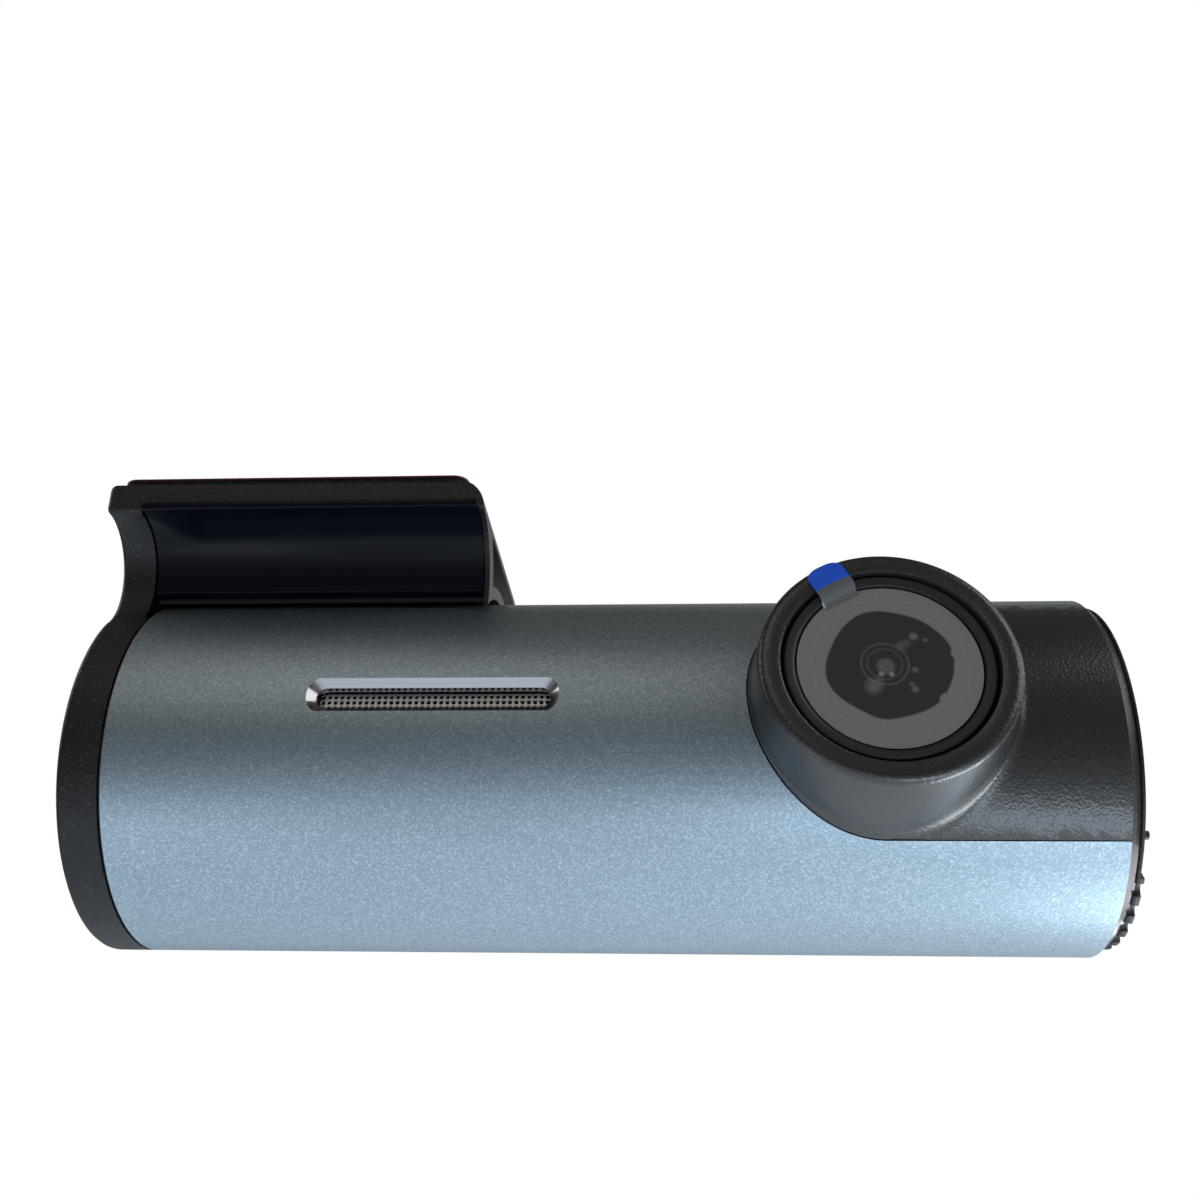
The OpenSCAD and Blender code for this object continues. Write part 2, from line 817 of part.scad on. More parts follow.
// Frame that the boards are screwed to, held by the plug and the end cap
module inner_chassis() {
  u0 = plug_u1 + fit;
  u1 = cap_u0 - fit;
  color([0.3, 0.3, 0.32]) cam() difference() {
    union() {
      block([u0, plate_y, -rail_z], [switch_u0 - 1.5, plate_y + plate_t, rail_z]);
      for (s = [-1, 1]) translate([0, plate_y + plate_t / 2, s * rail_z])
        block([u0, -rail_half, -rail_half], [u1, rail_half, rail_half]);
      board_holes() translate([0, 0, plate_y + 10 - board_y]) cylinder(r = post_r, h = board_y - plate_y);
      for (x = [-1, 1], y = [-1, 1])
        translate([lens_u + x * sensor_hole(), 0, y * sensor_hole()]) rotate([-90, 0, 0])
          translate([0, 0, -board_z]) cylinder(r = post_r, h = plate_y + board_z + 0.5);
    }
    // window for the sensor ribbon, and weight-saving windows
    block([lens_u - 12.4, plate_y - 1, -5], [lens_u - 9.4, plate_y + 3, 5]);
    block([board_u0 + 8, plate_y - 1, -7.5], [40, plate_y + 3, 7.5]);
    block([lens_u - 4, plate_y - 1, -5], [lens_u + 4, plate_y + 3, 5]);
    for (s = [-1, 1]) translate([0, plate_y + plate_t / 2, s * rail_z]) {
      rod(m2_r + fit, u0 - 1, u0 + 6);
      rod(m2_r + fit, u1 - 6, u1 + 1);
    }
    board_holes() translate([0, 0, 5.8]) cylinder(r = m16_r + fit, h = 10);
    for (x = [-1, 1], y = [-1, 1])
      translate([lens_u + x * sensor_hole(), 0, y * sensor_hole()]) rotate([-90, 0, 0])
        translate([0, 0, -board_z - 1]) cylinder(r = m16_r + fit, h = 4.2);
  }
}

// ---------- right end ----------

// Closed end of the body, with grip notches along the underside of its rim
module right_end_cap() {
  notch_at = rim_end_r + 0.15;
  color([0.1, 0.1, 0.11]) cam() difference() {
    union() {
      rod(rim_end_r, shell_u1, body_len);
      tube(bore_r - fit, bore_r - fit - skirt_t, cap_u0, shell_u1 + 0.01);
      rod(bore_r - fit, wall_u0, shell_u1 + 0.01);
      for (s = [-1, 1]) {
        translate([0, plate_y + plate_t / 2, s * rail_z]) rod(2.6, cap_u0, wall_u0 + 0.01);
        translate([0, -7, s * 6.5]) rod(1.5, switch_u0, wall_u0 + 0.01);
      }
      locating_nib();
      grip_ridge();
    }
    rod(light_r, wall_u0 - 1, body_len + 1);
    block([wall_u0 - 1, card_y - 0.6, -card_w / 2 - 0.3],
          [body_len + 1, card_y + 0.6, card_w / 2 + 0.3]);
    for (s = [-1, 1]) translate([0, plate_y + plate_t / 2, s * rail_z]) {
      rod(m2_r + fit, cap_u0 - 1, body_len + 1);
      rod(m2_head_r + 0.1, body_len - 1.2, body_len + 1);
    }
    for (k = [0 : notch_count - 1]) rotate([notch_a0 + k * notch_step, 0, 0])
      translate([0, -notch_at, 0]) rod(notch_r, shell_u1 - 0.2, body_len + 1);
  }
}

// Raised part of the rim under the thumb, which the notches run through
module grip_ridge() {
  a0 = notch_a0 - notch_step / 2;
  span = notch_count * notch_step;
  steps = 6;
  intersection() {
    tube(rim_end_r, rim_end_r - ridge_w, body_len - 0.01, body_len + ridge_h);
    across(body_len - 1, body_len + 1) polygon(concat([[0, 0]], [for (k = [0 : steps])
      let (t = a0 + k * span / steps) -body_r * 1.4 * [cos(t), sin(t)]]));
  }
}

// Small nib on the rim where the cover's lower edge meets it
module locating_nib() {
  a = asin(cover_r / body_r);
  rotate([a, 0, 0]) translate([0, -rim_end_r + 0.5, 0]) rod(0.4, body_len - 0.3, body_len + 0.45);
}

module light_ring() {
  color([0.75, 0.8, 0.85]) cam() tube(light_r - fit, button_r + 0.2, wall_u0, body_len);
}

module power_button() {
  color([0.16, 0.16, 0.17]) cam() {
    rod(button_r, button_flange_u + 0.69, body_len + 0.3);
    rod(light_r - 0.2, button_flange_u, button_flange_u + 0.7);
  }
}

module switch_plunger() {
  color([0.85, 0.83, 0.78]) cam() rod(1, plunger_u0, button_flange_u - 0.01);
}

module tact_switch() {
  color([0.2, 0.2, 0.22]) cam() difference() {
    block([switch_u0, -3, -3], [switch_u0 + switch_h, 3, 3]);
    rod(1.15, plunger_u0 - button_travel - 0.2, switch_u0 + switch_h + 1);
  }
}

module button_board() {
  color([0.05, 0.25, 0.12]) cam() difference() {
    block([switch_u0 - 1.2, -9, -9], [switch_u0, 4.2, 9]);
    for (s = [-1, 1]) translate([0, plate_y + plate_t / 2, s * rail_z]) rod(3, 0, body_len);
  }
}

module status_led() {
  color([0.9, 0.9, 0.75]) cam() block([switch_u0, -4.9, -0.8], [switch_u0 + 0.7, -3.3, 0.8]);
}

module memory_card() {
  color([0.08, 0.08, 0.1]) cam() difference() {
    block([card_u0, card_y - card_t / 2, -card_w / 2], [card_u1, card_y + card_t / 2, card_w / 2]);
    block([card_u0 - 1, card_y - 1, card_w / 2 - 1.2], [card_u0 + 6, card_y + 1, card_w / 2 + 1]);
  }
}

// ---------- fasteners ----------

// Screw along +x with its head's outer face at u
module screw_x(u, len, r, head_r, head_t) {
  difference() {
    union() {
      rod(head_r, u, u + head_t);
      rod(r, u + head_t - 0.01, u + len);
    }
    for (a = [0, 90]) rotate([a, 0, 0]) block([u - 1, -head_r * 0.6, -0.2],
                                              [u + head_t * 0.5, head_r * 0.6, 0.2]);
  }
}

module case_screws() {
  u_left = plug_floor_u - 1.4;
  u_right = body_len - 0.2;
  color("silver") cam() for (s = [-1, 1]) translate([0, plate_y + plate_t / 2, s * rail_z]) {
    screw_x(u_left, 8, m2_r, m2_head_r, 1);
    translate([2 * u_right, 0, 0]) mirror([1, 0, 0])
      screw_x(u_right, u_right - cap_u0 + 4, m2_r, m2_head_r, 1);
  }
}

module board_screws() {
  color("silver") cam() {
    for (u = post_us, s = [-1, 1]) translate([u, board_back + m16_head_t, s * post_z])
      rotate([0, 0, -90]) screw_x(0, 4.6, m16_r, m16_head_r, m16_head_t);
    for (x = [-1, 1], y = [-1, 1])
      translate([lens_u + x * sensor_hole(), -board_z - pcb_t - m16_head_t, y * sensor_hole()])
        rotate([0, 0, 90]) screw_x(0, 4.6, m16_r, m16_head_r, m16_head_t);
  }
}

windscreen_plate();
foam_pad();
release_liner();
arm();
neck_panel();
pivot_bush();
hub_cover();
shell();
lens_housing();
lens_ring();
window_gasket();
lens_window();
lens_film();
pull_tab();
lens_baffle();
lens_barrel();
front_element();
rear_element();
lens_holder();
image_sensor();
sensor_board();
sensor_flex();
main_board();
processor();
thermal_pad();
heat_spreader();
supercapacitors();
wifi_module();
wifi_antenna();
microphone();
speaker_mesh();
speaker_gasket();
speaker_driver();
card_socket();
usb_socket();
port_panel();
inner_chassis();
left_plug();
pivot_spindle();
wave_washer();
pivot_screw();
right_end_cap();
light_ring();
status_led();
button_board();
tact_switch();
case_screws();
board_screws();
power_button();
switch_plunger();
memory_card();
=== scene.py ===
"""Looks of the tube dash camera, modelled around its fixed frame."""
import json
import math
import bpy
from mathutils import Matrix, Vector


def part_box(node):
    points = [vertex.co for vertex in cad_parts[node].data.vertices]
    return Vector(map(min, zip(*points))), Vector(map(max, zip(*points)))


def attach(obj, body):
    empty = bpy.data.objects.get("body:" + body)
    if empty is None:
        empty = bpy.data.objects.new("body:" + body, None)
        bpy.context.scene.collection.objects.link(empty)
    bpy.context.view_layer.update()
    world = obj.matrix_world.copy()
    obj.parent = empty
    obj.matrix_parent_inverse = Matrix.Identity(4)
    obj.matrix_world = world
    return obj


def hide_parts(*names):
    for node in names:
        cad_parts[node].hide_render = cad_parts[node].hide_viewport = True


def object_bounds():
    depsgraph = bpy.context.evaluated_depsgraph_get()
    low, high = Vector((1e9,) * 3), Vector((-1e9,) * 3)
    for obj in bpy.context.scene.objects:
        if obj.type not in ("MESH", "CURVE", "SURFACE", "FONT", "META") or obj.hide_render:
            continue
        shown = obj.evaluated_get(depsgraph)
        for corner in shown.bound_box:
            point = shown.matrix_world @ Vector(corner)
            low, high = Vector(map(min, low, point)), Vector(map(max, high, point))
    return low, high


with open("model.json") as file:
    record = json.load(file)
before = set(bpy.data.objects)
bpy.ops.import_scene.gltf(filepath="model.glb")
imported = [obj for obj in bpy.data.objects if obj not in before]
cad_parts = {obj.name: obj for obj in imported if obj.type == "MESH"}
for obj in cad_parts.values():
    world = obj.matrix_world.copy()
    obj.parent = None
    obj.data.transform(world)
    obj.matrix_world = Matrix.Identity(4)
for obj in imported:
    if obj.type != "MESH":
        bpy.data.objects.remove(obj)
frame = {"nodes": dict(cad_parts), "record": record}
cad_low, cad_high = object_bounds()

# ---------------------------------------------------------------- sizes, in millimetres
MM = 0.001
WELD = 0.0005
STEPS = 128
REST_TILT = 10

tilt_joint = next(j for j in frame["record"]["behaviour"]["joints"] if j["name"] == "camera_tilt")
arm_low, arm_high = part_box("arm")
shell_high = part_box("shell")[1]
AXIS = Vector((arm_low.x, tilt_joint["pos_m"][1], tilt_joint["pos_m"][2])) / MM
BODY_R = 18.0
SHELL_U1 = shell_high.x / MM - AXIS.x
BODY_LEN = 100.0
LENS_U = 77.1
SHELL_WALL = 1.5
BEVEL_LEN = 1.1
BEVEL_DEPTH = 0.9
COVER_R = 12.4
COVER_GAP = 0.1
RIM_Z = 23.6
RECESS_R = 9.65
APERTURE_R = 7.0
SEAT_Z = 21.0
FILM_Z = 22.8
FILM_R = 8.2
SLOT_U = 35.2
SLOT_LEN = 24.0
SLOT_W = 3.7
SLOT_CHAMFER = 0.8
PORT_U = 56.0
PORT_HALF_LEN = 6.5
PORT_HALF_W = 4.0
ARM_LEN = arm_high.x / MM - AXIS.x
DISC_T = 4.1
NECK_R = 5.9
NECK_Y = -16.549
NECK_Z = 17.16
LIP_Y0 = -16.949
LIP_Y1 = 9.751
LIP_Z0 = 23.0
LIP_Z1 = arm_high.z / MM - AXIS.z
SKIN_R0 = 18.6
SKIN_R1 = 19.9
NECK_BACK_R = 8.4
BORDER_U0 = 3.7
BORDER_U1 = ARM_LEN - 0.5
PANEL_SINK = 0.15
PANEL_T = 0.8
PANEL_LOW = -4.0
PANEL_HIGH = 96.0
PAD_SETBACK = 1.8
BACK_EDGE_R = 0.6
FRONT_EDGE_R = 0.75
HUB_R = 9.0
HUB_DEPTH = 3.0
RAIL_U0 = 4.5
RAIL_U1 = 35.2
SEAM = 0.12

# ---------------------------------------------------------------- where things go
ALONG = Matrix.Rotation(math.radians(90), 4, "Y")
ACROSS = Matrix.Rotation(math.radians(90), 4, "Z") @ Matrix.Rotation(math.radians(90), 4, "X")
OUTWARD = Matrix.Rotation(math.radians(90), 4, "X")
BACKWARD = Matrix.Rotation(math.radians(-90), 4, "X")
mount_place = Matrix.Translation(AXIS)
body_place = mount_place @ Matrix.Rotation(math.radians(-REST_TILT), 4, "X")
lens_place = body_place @ Matrix.Translation((LENS_U, 0, 0)) @ OUTWARD
slot_place = body_place @ Matrix.Translation((SLOT_U, 0, 0)) @ OUTWARD
port_place = body_place @ Matrix.Translation((PORT_U, 0, 0)) @ BACKWARD


# ---------------------------------------------------------------- the bench: drawing and shaping
def pick(*objects):
    """Selects only these objects, the first one active."""
    if bpy.context.mode != "OBJECT":
        bpy.ops.object.mode_set(mode="OBJECT")
    bpy.ops.object.select_all(action="DESELECT")
    for obj in objects:
        obj.select_set(True)
    if objects:
        bpy.context.view_layer.objects.active = objects[0]


def edit(obj):
    pick(obj)
    bpy.ops.object.mode_set(mode="EDIT")


def done():
    bpy.ops.object.mode_set(mode="OBJECT")


def draw_line(name, points, closed=False):
    """A chain of edges, drawn by extruding one vertex from point to point; stays in edit mode."""
    pick()
    bpy.ops.mesh.primitive_plane_add(size=1)
    obj = bpy.context.active_object
    obj.name = name
    edit(obj)
    bpy.ops.mesh.select_mode(type="VERT")
    bpy.ops.mesh.select_all(action="SELECT")
    bpy.ops.mesh.merge(type="CENTER")
    bpy.ops.transform.translate(value=points[0])
    path = [Vector(p) for p in points] + ([Vector(points[0])] if closed else [])
    for here, there in zip(path, path[1:]):
        bpy.ops.mesh.extrude_vertices_move(TRANSFORM_OT_translate={"value": there - here})
    bpy.ops.mesh.select_all(action="SELECT")
    bpy.ops.mesh.remove_doubles(threshold=WELD)
    return obj


def lathe(name, profile, steps=STEPS, closed=False):
    """Spins a profile of (radius, height) about the Z axis."""
    obj = draw_line(name, [(r, 0, z) for r, z in profile], closed)
    bpy.ops.mesh.spin(steps=steps, angle=2 * math.pi, center=(0, 0, 0), axis=(0, 0, 1))
    tidy_mesh()
    done()
    return obj


def slab(name, outline, low, high):
    """Fills an outline of (x, y) and extrudes it from low to high."""
    obj = draw_line(name, [(x, y, low) for x, y in outline], True)
    bpy.ops.mesh.edge_face_add()
    bpy.ops.mesh.extrude_region_move(TRANSFORM_OT_translate={"value": (0, 0, high - low)})
    tidy_mesh()
    done()
    return obj


def tidy_mesh():
    bpy.ops.mesh.select_all(action="SELECT")
    bpy.ops.mesh.remove_doubles(threshold=WELD)
    bpy.ops.mesh.normals_make_consistent(inside=False)


def select_faces(obj, test):
    """In edit mode, selects the faces whose centre and normal pass the test."""
    bpy.ops.mesh.select_mode(type="FACE")
    bpy.ops.mesh.select_all(action="DESELECT")
    done()
    for face in obj.data.polygons:
        face.select = bool(test(face.center, face.normal))
    bpy.ops.object.mode_set(mode="EDIT")


def select_edges(obj, test):
    """In edit mode, selects the edges whose two ends pass the test."""
    bpy.ops.mesh.select_mode(type="EDGE")
    bpy.ops.mesh.select_all(action="DESELECT")
    done()
    points = [v.co for v in obj.data.vertices]
    for edge in obj.data.edges:
        edge.select = all(test(points[i]) for i in edge.vertices)
    bpy.ops.object.mode_set(mode="EDIT")


def arc(centre, radius, start, stop, steps):
    """Points on an arc, angles in degrees."""
    turns = [math.radians(start + (stop - start) * k / steps) for k in range(steps + 1)]
    return [(centre[0] + radius * math.cos(t), centre[1] + radius * math.sin(t)) for t in turns]


def round_box(x0, y0, x1, y1, r, steps=8):
    """Outline of a rectangle with round corners."""
    return (arc((x1 - r, y1 - r), r, 0, 90, steps) + arc((x0 + r, y1 - r), r, 90, 180, steps)
            + arc((x0 + r, y0 + r), r, 180, 270, steps) + arc((x1 - r, y0 + r), r, 270, 360, steps))


def run_modifier(obj, kind, **settings):
    modifier = obj.modifiers.new(kind.title(), kind)
    for key, value in settings.items():
        setattr(modifier, key, value)
    pick(obj)
    bpy.ops.object.modifier_apply(modifier=modifier.name)


def combine(obj, tool, how="DIFFERENCE"):
    """Cuts a tool out of a piece, or joins it on, and puts the tool away."""
    run_modifier(obj, "BOOLEAN", operation=how, object=tool, solver="EXACT",
                 material_mode="TRANSFER")
    bpy.data.objects.remove(tool)


def soften(obj, width, segments=3, angle=40):
    run_modifier(obj, "BEVEL", width=width, segments=segments, limit_method="ANGLE",
                 angle_limit=math.radians(angle), use_clamp_overlap=True)


def copy_of(node, name):
    """A merged working copy of a CAD node's mesh, left where it is, in metres."""
    obj = frame["nodes"][node].copy()
    obj.data = obj.data.copy()
    obj.name = name
    obj.parent = None
    obj.modifiers.clear()
    bpy.context.scene.collection.objects.link(obj)
    obj.matrix_world = Matrix.Identity(4)
    edit(obj)
    bpy.ops.mesh.select_all(action="SELECT")
    bpy.ops.mesh.remove_doubles(threshold=WELD * MM * 4)
    bpy.ops.mesh.dissolve_limited(angle_limit=math.radians(0.5))
    done()
    return obj


def place(obj, where):
    """Moves a piece from the bench to its place, in metres, with the place in its mesh."""
    pick(obj)
    obj.matrix_world = Matrix.Scale(MM, 4) @ where
    bpy.ops.object.transform_apply(location=True, rotation=True, scale=True)


def fit_piece(obj, where, body, paint, nodes=(), smooth=32, even=False):
    """Places, shades and paints a finished piece and says what it rides on."""
    if where is not None:
        place(obj, where)
    pick(obj)
    bpy.ops.object.shade_smooth_by_angle(angle=math.radians(smooth))
    if even:
        run_modifier(obj, "WEIGHTED_NORMAL", keep_sharp=True)
    if paint is not None:
        obj.data.materials.clear()
        obj.data.materials.append(paint)
    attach(obj, body)
    if nodes:
        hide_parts(*nodes)
    return obj


# ---------------------------------------------------------------- finishes
def add(tree, kind, sockets=None, **settings):
    """Adds a node; each socket gets a value or a link."""
    node = tree.nodes.new(kind)
    for key, value in settings.items():
        setattr(node, key, value)
    for key, value in (sockets or {}).items():
        if isinstance(value, bpy.types.NodeSocket):
            tree.links.new(value, node.inputs[key])
        else:
            node.inputs[key].default_value = value
    return node


def new_group(name, inputs, outputs):
    """A shader node group with named float inputs and its outputs."""
    tree = bpy.data.node_groups.new(name, "ShaderNodeTree")
    for label, value in inputs:
        socket = tree.interface.new_socket(label, in_out="INPUT", socket_type="NodeSocketFloat")
        socket.default_value = value
    for label, kind in outputs:
        tree.interface.new_socket(label, in_out="OUTPUT", socket_type=kind)
    return tree, tree.nodes.new("NodeGroupInput"), tree.nodes.new("NodeGroupOutput")


def grain_group():
    """Spark-eroded grain: rounded pits, a speck mask, and a bumped normal."""
    tree, given, result = new_group(
        "Moulded grain", [("Scale", 3000.0), ("Depth", 0.00005), ("Speck", 0.6)],
        [("Mask", "NodeSocketFloat"), ("Specks", "NodeSocketFloat"),
         ("Normal", "NodeSocketVector")])
    place_on = add(tree, "ShaderNodeTexCoord").outputs["Object"]
    pits = add(tree, "ShaderNodeTexVoronoi", {"Vector": place_on, "Scale": given.outputs["Scale"],
                                              "Randomness": 1.0}, feature="SMOOTH_F1")
    pits.inputs["Smoothness"].default_value = 0.5
    cloud = add(tree, "ShaderNodeTexNoise", {"Vector": place_on, "Scale": given.outputs["Scale"],
                                             "Detail": 3.0, "Roughness": 0.6})
    height = add(tree, "ShaderNodeMath", {0: pits.outputs["Distance"], 1: cloud.outputs["Fac"]},
                 operation="MULTIPLY")
    bump = add(tree, "ShaderNodeBump", {"Strength": 1.0, "Distance": given.outputs["Depth"],
                                        "Height": height.outputs[0]})
    dots = add(tree, "ShaderNodeMath", {0: cloud.outputs["Fac"], 1: given.outputs["Speck"]},
               operation="GREATER_THAN")
    for name, socket in (("Mask", height.outputs[0]), ("Specks", dots.outputs[0]),
                         ("Normal", bump.outputs["Normal"])):
        tree.links.new(socket, result.inputs[name])
    return tree


def flake_group():
    """Metal flake under anodising: a brightness per flake and a tilted normal."""
    tree, given, result = new_group(
        "Metal flake", [("Scale", 8000.0), ("Tilt", 0.10)],
        [("Flake", "NodeSocketFloat"), ("Mottle", "NodeSocketFloat"),
         ("Normal", "NodeSocketVector")])
    place_on = add(tree, "ShaderNodeTexCoord").outputs["Object"]
    cells = add(tree, "ShaderNodeTexVoronoi", {"Vector": place_on, "Scale": given.outputs["Scale"]})
    cloud = add(tree, "ShaderNodeTexNoise", {"Vector": place_on, "Scale": 2600.0, "Detail": 3.0,
                                             "Roughness": 0.6})
    apart = add(tree, "ShaderNodeSeparateColor", {"Color": cells.outputs["Color"]})
    bump = add(tree, "ShaderNodeBump", {"Strength": given.outputs["Tilt"], "Distance": 0.0001,
                                        "Height": apart.outputs["Green"]})
    for name, socket in (("Flake", apart.outputs["Red"]), ("Mottle", cloud.outputs["Fac"]),
                         ("Normal", bump.outputs["Normal"])):
        tree.links.new(socket, result.inputs[name])
    return tree


def handling_group():
    """Faint handling marks and dust: a slow cloud for roughness and colour."""
    tree, given, result = new_group("Handling marks", [("Scale", 60.0)],
                                    [("Marks", "NodeSocketFloat"), ("Dust", "NodeSocketFloat")])
    place_on = add(tree, "ShaderNodeTexCoord").outputs["Object"]
    cloud = add(tree, "ShaderNodeTexNoise", {"Vector": place_on, "Scale": given.outputs["Scale"],
                                             "Detail": 5.0, "Roughness": 0.65})
    motes = add(tree, "ShaderNodeTexVoronoi", {"Vector": place_on, "Scale": 700.0})
    dust = add(tree, "ShaderNodeMapRange", {"Value": motes.outputs["Distance"], 1: 0.04, 2: 0.09,
                                            3: 1.0, 4: 0.0})
    tree.links.new(cloud.outputs["Fac"], result.inputs["Marks"])
    tree.links.new(dust.outputs[0], result.inputs["Dust"])
    return tree


GRAIN, FLAKE, HANDLING = grain_group(), flake_group(), handling_group()


def use_group(tree, group, **values):
    node = tree.nodes.new("ShaderNodeGroup")
    node.node_tree = group
    for key, value in values.items():
        node.inputs[key].default_value = value
    return node


def spread(tree, value, low, high):
    """Maps a 0..1 value to low..high."""
    return add(tree, "ShaderNodeMapRange", {"Value": value, 3: low, 4: high}).outputs[0]


def blend(tree, mask, first, second):
    """Colour that goes from first to second with the mask."""
    node = add(tree, "ShaderNodeMix", {0: mask}, data_type="RGBA")
    for index, colour in ((6, first), (7, second)):
        if isinstance(colour, bpy.types.NodeSocket):
            tree.links.new(colour, node.inputs[index])
        else:
            node.inputs[index].default_value = (*colour, 1.0)
    return node.outputs[2]


def finish_of(name, **shader):
    """A new material with its Principled shader; settings go on the shader's own sockets."""
    made = bpy.data.materials.new(name)
    made.use_nodes = True
    shade = made.node_tree.nodes["Principled BSDF"]
    for key, value in shader.items():
        shade.inputs[key.replace("_", " ").title().replace("Ior", "IOR")].default_value = value
    return made, made.node_tree, shade


def grained(name, dark, light, rough=(0.38, 0.5), scale=3000.0, depth=0.00006, speck=0.6,
            **shader):
    """Moulded plastic with spark-eroded grain and faint marks."""
    made, tree, shade = finish_of(name, **shader)
    grain = use_group(tree, GRAIN, Scale=scale, Depth=depth, Speck=speck)
    marks = use_group(tree, HANDLING)
    colour = blend(tree, grain.outputs["Specks"], dark, light)
    tree.links.new(colour, shade.inputs["Base Color"])
    tree.links.new(spread(tree, marks.outputs["Marks"], *rough), shade.inputs["Roughness"])
    tree.links.new(grain.outputs["Normal"], shade.inputs["Normal"])
    return made


def plain(name, dark, light, rough=(0.3, 0.45), scale=80.0, **shader):
    """Smooth plastic, glass or metal with slow colour variation and faint marks."""
    made, tree, shade = finish_of(name, **shader)
    marks = use_group(tree, HANDLING, Scale=scale)
    tree.links.new(blend(tree, marks.outputs["Marks"], dark, light), shade.inputs["Base Color"])
    tree.links.new(spread(tree, marks.outputs["Marks"], *rough), shade.inputs["Roughness"])
    return made


def brushed(name, dark, light, rough=(0.2, 0.4), stretch=(60.0, 4000.0, 4000.0), **shader):
    """Metal with fine lines along the body."""
    made, tree, shade = finish_of(name, metallic=1.0, **shader)
    where = add(tree, "ShaderNodeTexCoord").outputs["Object"]
    lines = add(tree, "ShaderNodeMapping", {"Vector": where, "Scale": stretch})
    cloud = add(tree, "ShaderNodeTexNoise", {"Vector": lines.outputs[0], "Scale": 1.0,
                                             "Detail": 3.0})
    tree.links.new(blend(tree, cloud.outputs["Fac"], dark, light), shade.inputs["Base Color"])
    tree.links.new(spread(tree, cloud.outputs["Fac"], *rough), shade.inputs["Roughness"])
    return made


def anodised():
    """Blue-grey anodised aluminium with a fine sparkle."""
    made, tree, shade = finish_of("Anodised blue grey", metallic=0.92)
    flake = use_group(tree, FLAKE)
    marks = use_group(tree, HANDLING, Scale=40.0)
    base = blend(tree, flake.outputs["Mottle"], (0.28, 0.36, 0.42), (0.40, 0.50, 0.57))
    bright = spread(tree, flake.outputs["Flake"], -0.9, 0.7)
    colour = blend(tree, bright, base, (0.62, 0.73, 0.80))
    tree.links.new(colour, shade.inputs["Base Color"])
    tree.links.new(spread(tree, marks.outputs["Marks"], 0.38, 0.46), shade.inputs["Roughness"])
    tree.links.new(flake.outputs["Normal"], shade.inputs["Normal"])
    return made


def lens_mask(tree, where):
    """Place across the lens axis and distance from it, in metres, for the lens group."""
    back = lens_place.inverted()
    turn = back.to_euler("XYZ")
    shift = back.to_translation() * MM
    local = add(tree, "ShaderNodeMapping", {"Vector": where, "Location": shift, "Rotation": turn})
    flat = add(tree, "ShaderNodeVectorMath", {0: local.outputs[0], 1: (1.0, 1.0, 0.0)},
               operation="MULTIPLY")
    away = add(tree, "ShaderNodeVectorMath", {0: flat.outputs[0]}, operation="LENGTH")
    return flat.outputs[0], away.outputs["Value"]


def distance_to(tree, flat, x, y):
    """Distance on the lens group to (x, y), which is in millimetres from the lens axis."""
    away = add(tree, "ShaderNodeVectorMath", {0: flat, 1: (x * MM, y * MM, 0.0)},
               operation="DISTANCE")
    return away.outputs["Value"]


def spot(tree, flat, x, y, radius, soft, strength):
    """A soft round mark on the lens group."""
    mark = add(tree, "ShaderNodeMapRange", {
        "Value": distance_to(tree, flat, x, y), 1: (radius - soft) * MM,
        2: (radius + soft) * MM, 3: strength, 4: 0.0})
    return mark.outputs[0]


def circle_line(tree, flat, x, y, radius, width, strength):
    """A thin soft circle on the lens group."""
    off = add(tree, "ShaderNodeMath", {0: distance_to(tree, flat, x, y), 1: radius * MM},
              operation="SUBTRACT")
    size = add(tree, "ShaderNodeMath", {0: off.outputs[0]}, operation="ABSOLUTE")
    return add(tree, "ShaderNodeMapRange", {"Value": size.outputs[0], 1: 0.0, 2: width * MM,
                                            3: strength, 4: 0.0}).outputs[0]


def brightest(tree, masks):
    """The highest of several masks."""
    result = masks[0]
    for mask in masks[1:]:
        result = add(tree, "ShaderNodeMath", {0: result, 1: mask}, operation="MAXIMUM").outputs[0]
    return result


# x, y, radius and softness in millimetres, then strength
BUBBLES = [(2.4, 3.0, 0.36, 0.16, 0.7), (1.25, 2.05, 0.4, 0.3, 0.4), (1.7, 2.3, 0.3, 0.25, 0.4),
           (3.4, 2.6, 0.2, 0.12, 0.5), (2.2, -0.45, 0.26, 0.14, 0.6),
           (2.0, -2.4, 0.3, 0.16, 0.6), (-1.6, -2.1, 0.62, 0.4, 0.65),
           (-1.15, -1.65, 0.4, 0.3, 0.5), (-0.35, -0.1, 0.8, 0.15, 0.5),
           (-0.8, -0.85, 0.2, 0.12, 2.2), (0.1, -0.9, 0.2, 0.12, 2.2),
           (1.75, -1.9, 0.2, 0.12, 0.5), (5.6, -2.6, 0.75, 0.1, 1.0),
           (4.7, -3.5, 0.7, 0.1, 1.0), (6.0, 1.2, 0.5, 0.1, 1.0)]
# painted highlight rings of the lens rims on the film: x, y, radius and width in millimetres, then
# strength
PAINTED_RIM_HIGHLIGHTS = [(0, 0, 6.9, 0.18, 0.2), (-0.4, 0.15, 2.1, 0.16, 0.3),
                 (-0.4, 0.15, 1.55, 0.12, 0.25)]
# painted highlight at the tab's corner: x, y, radius and softness in millimetres, then strength
TAB_PAINTED_HIGHLIGHT = (-5.6, 6.1, 0.3, 0.12, 1.0)
# these three are in metres from the lens axis
HAZE_FROM, HAZE_FULL = 0.0055, 0.0057
HAZE_WOBBLE = 0.0011
INK_FROM, INK_FULL = 0.00945, 0.0095


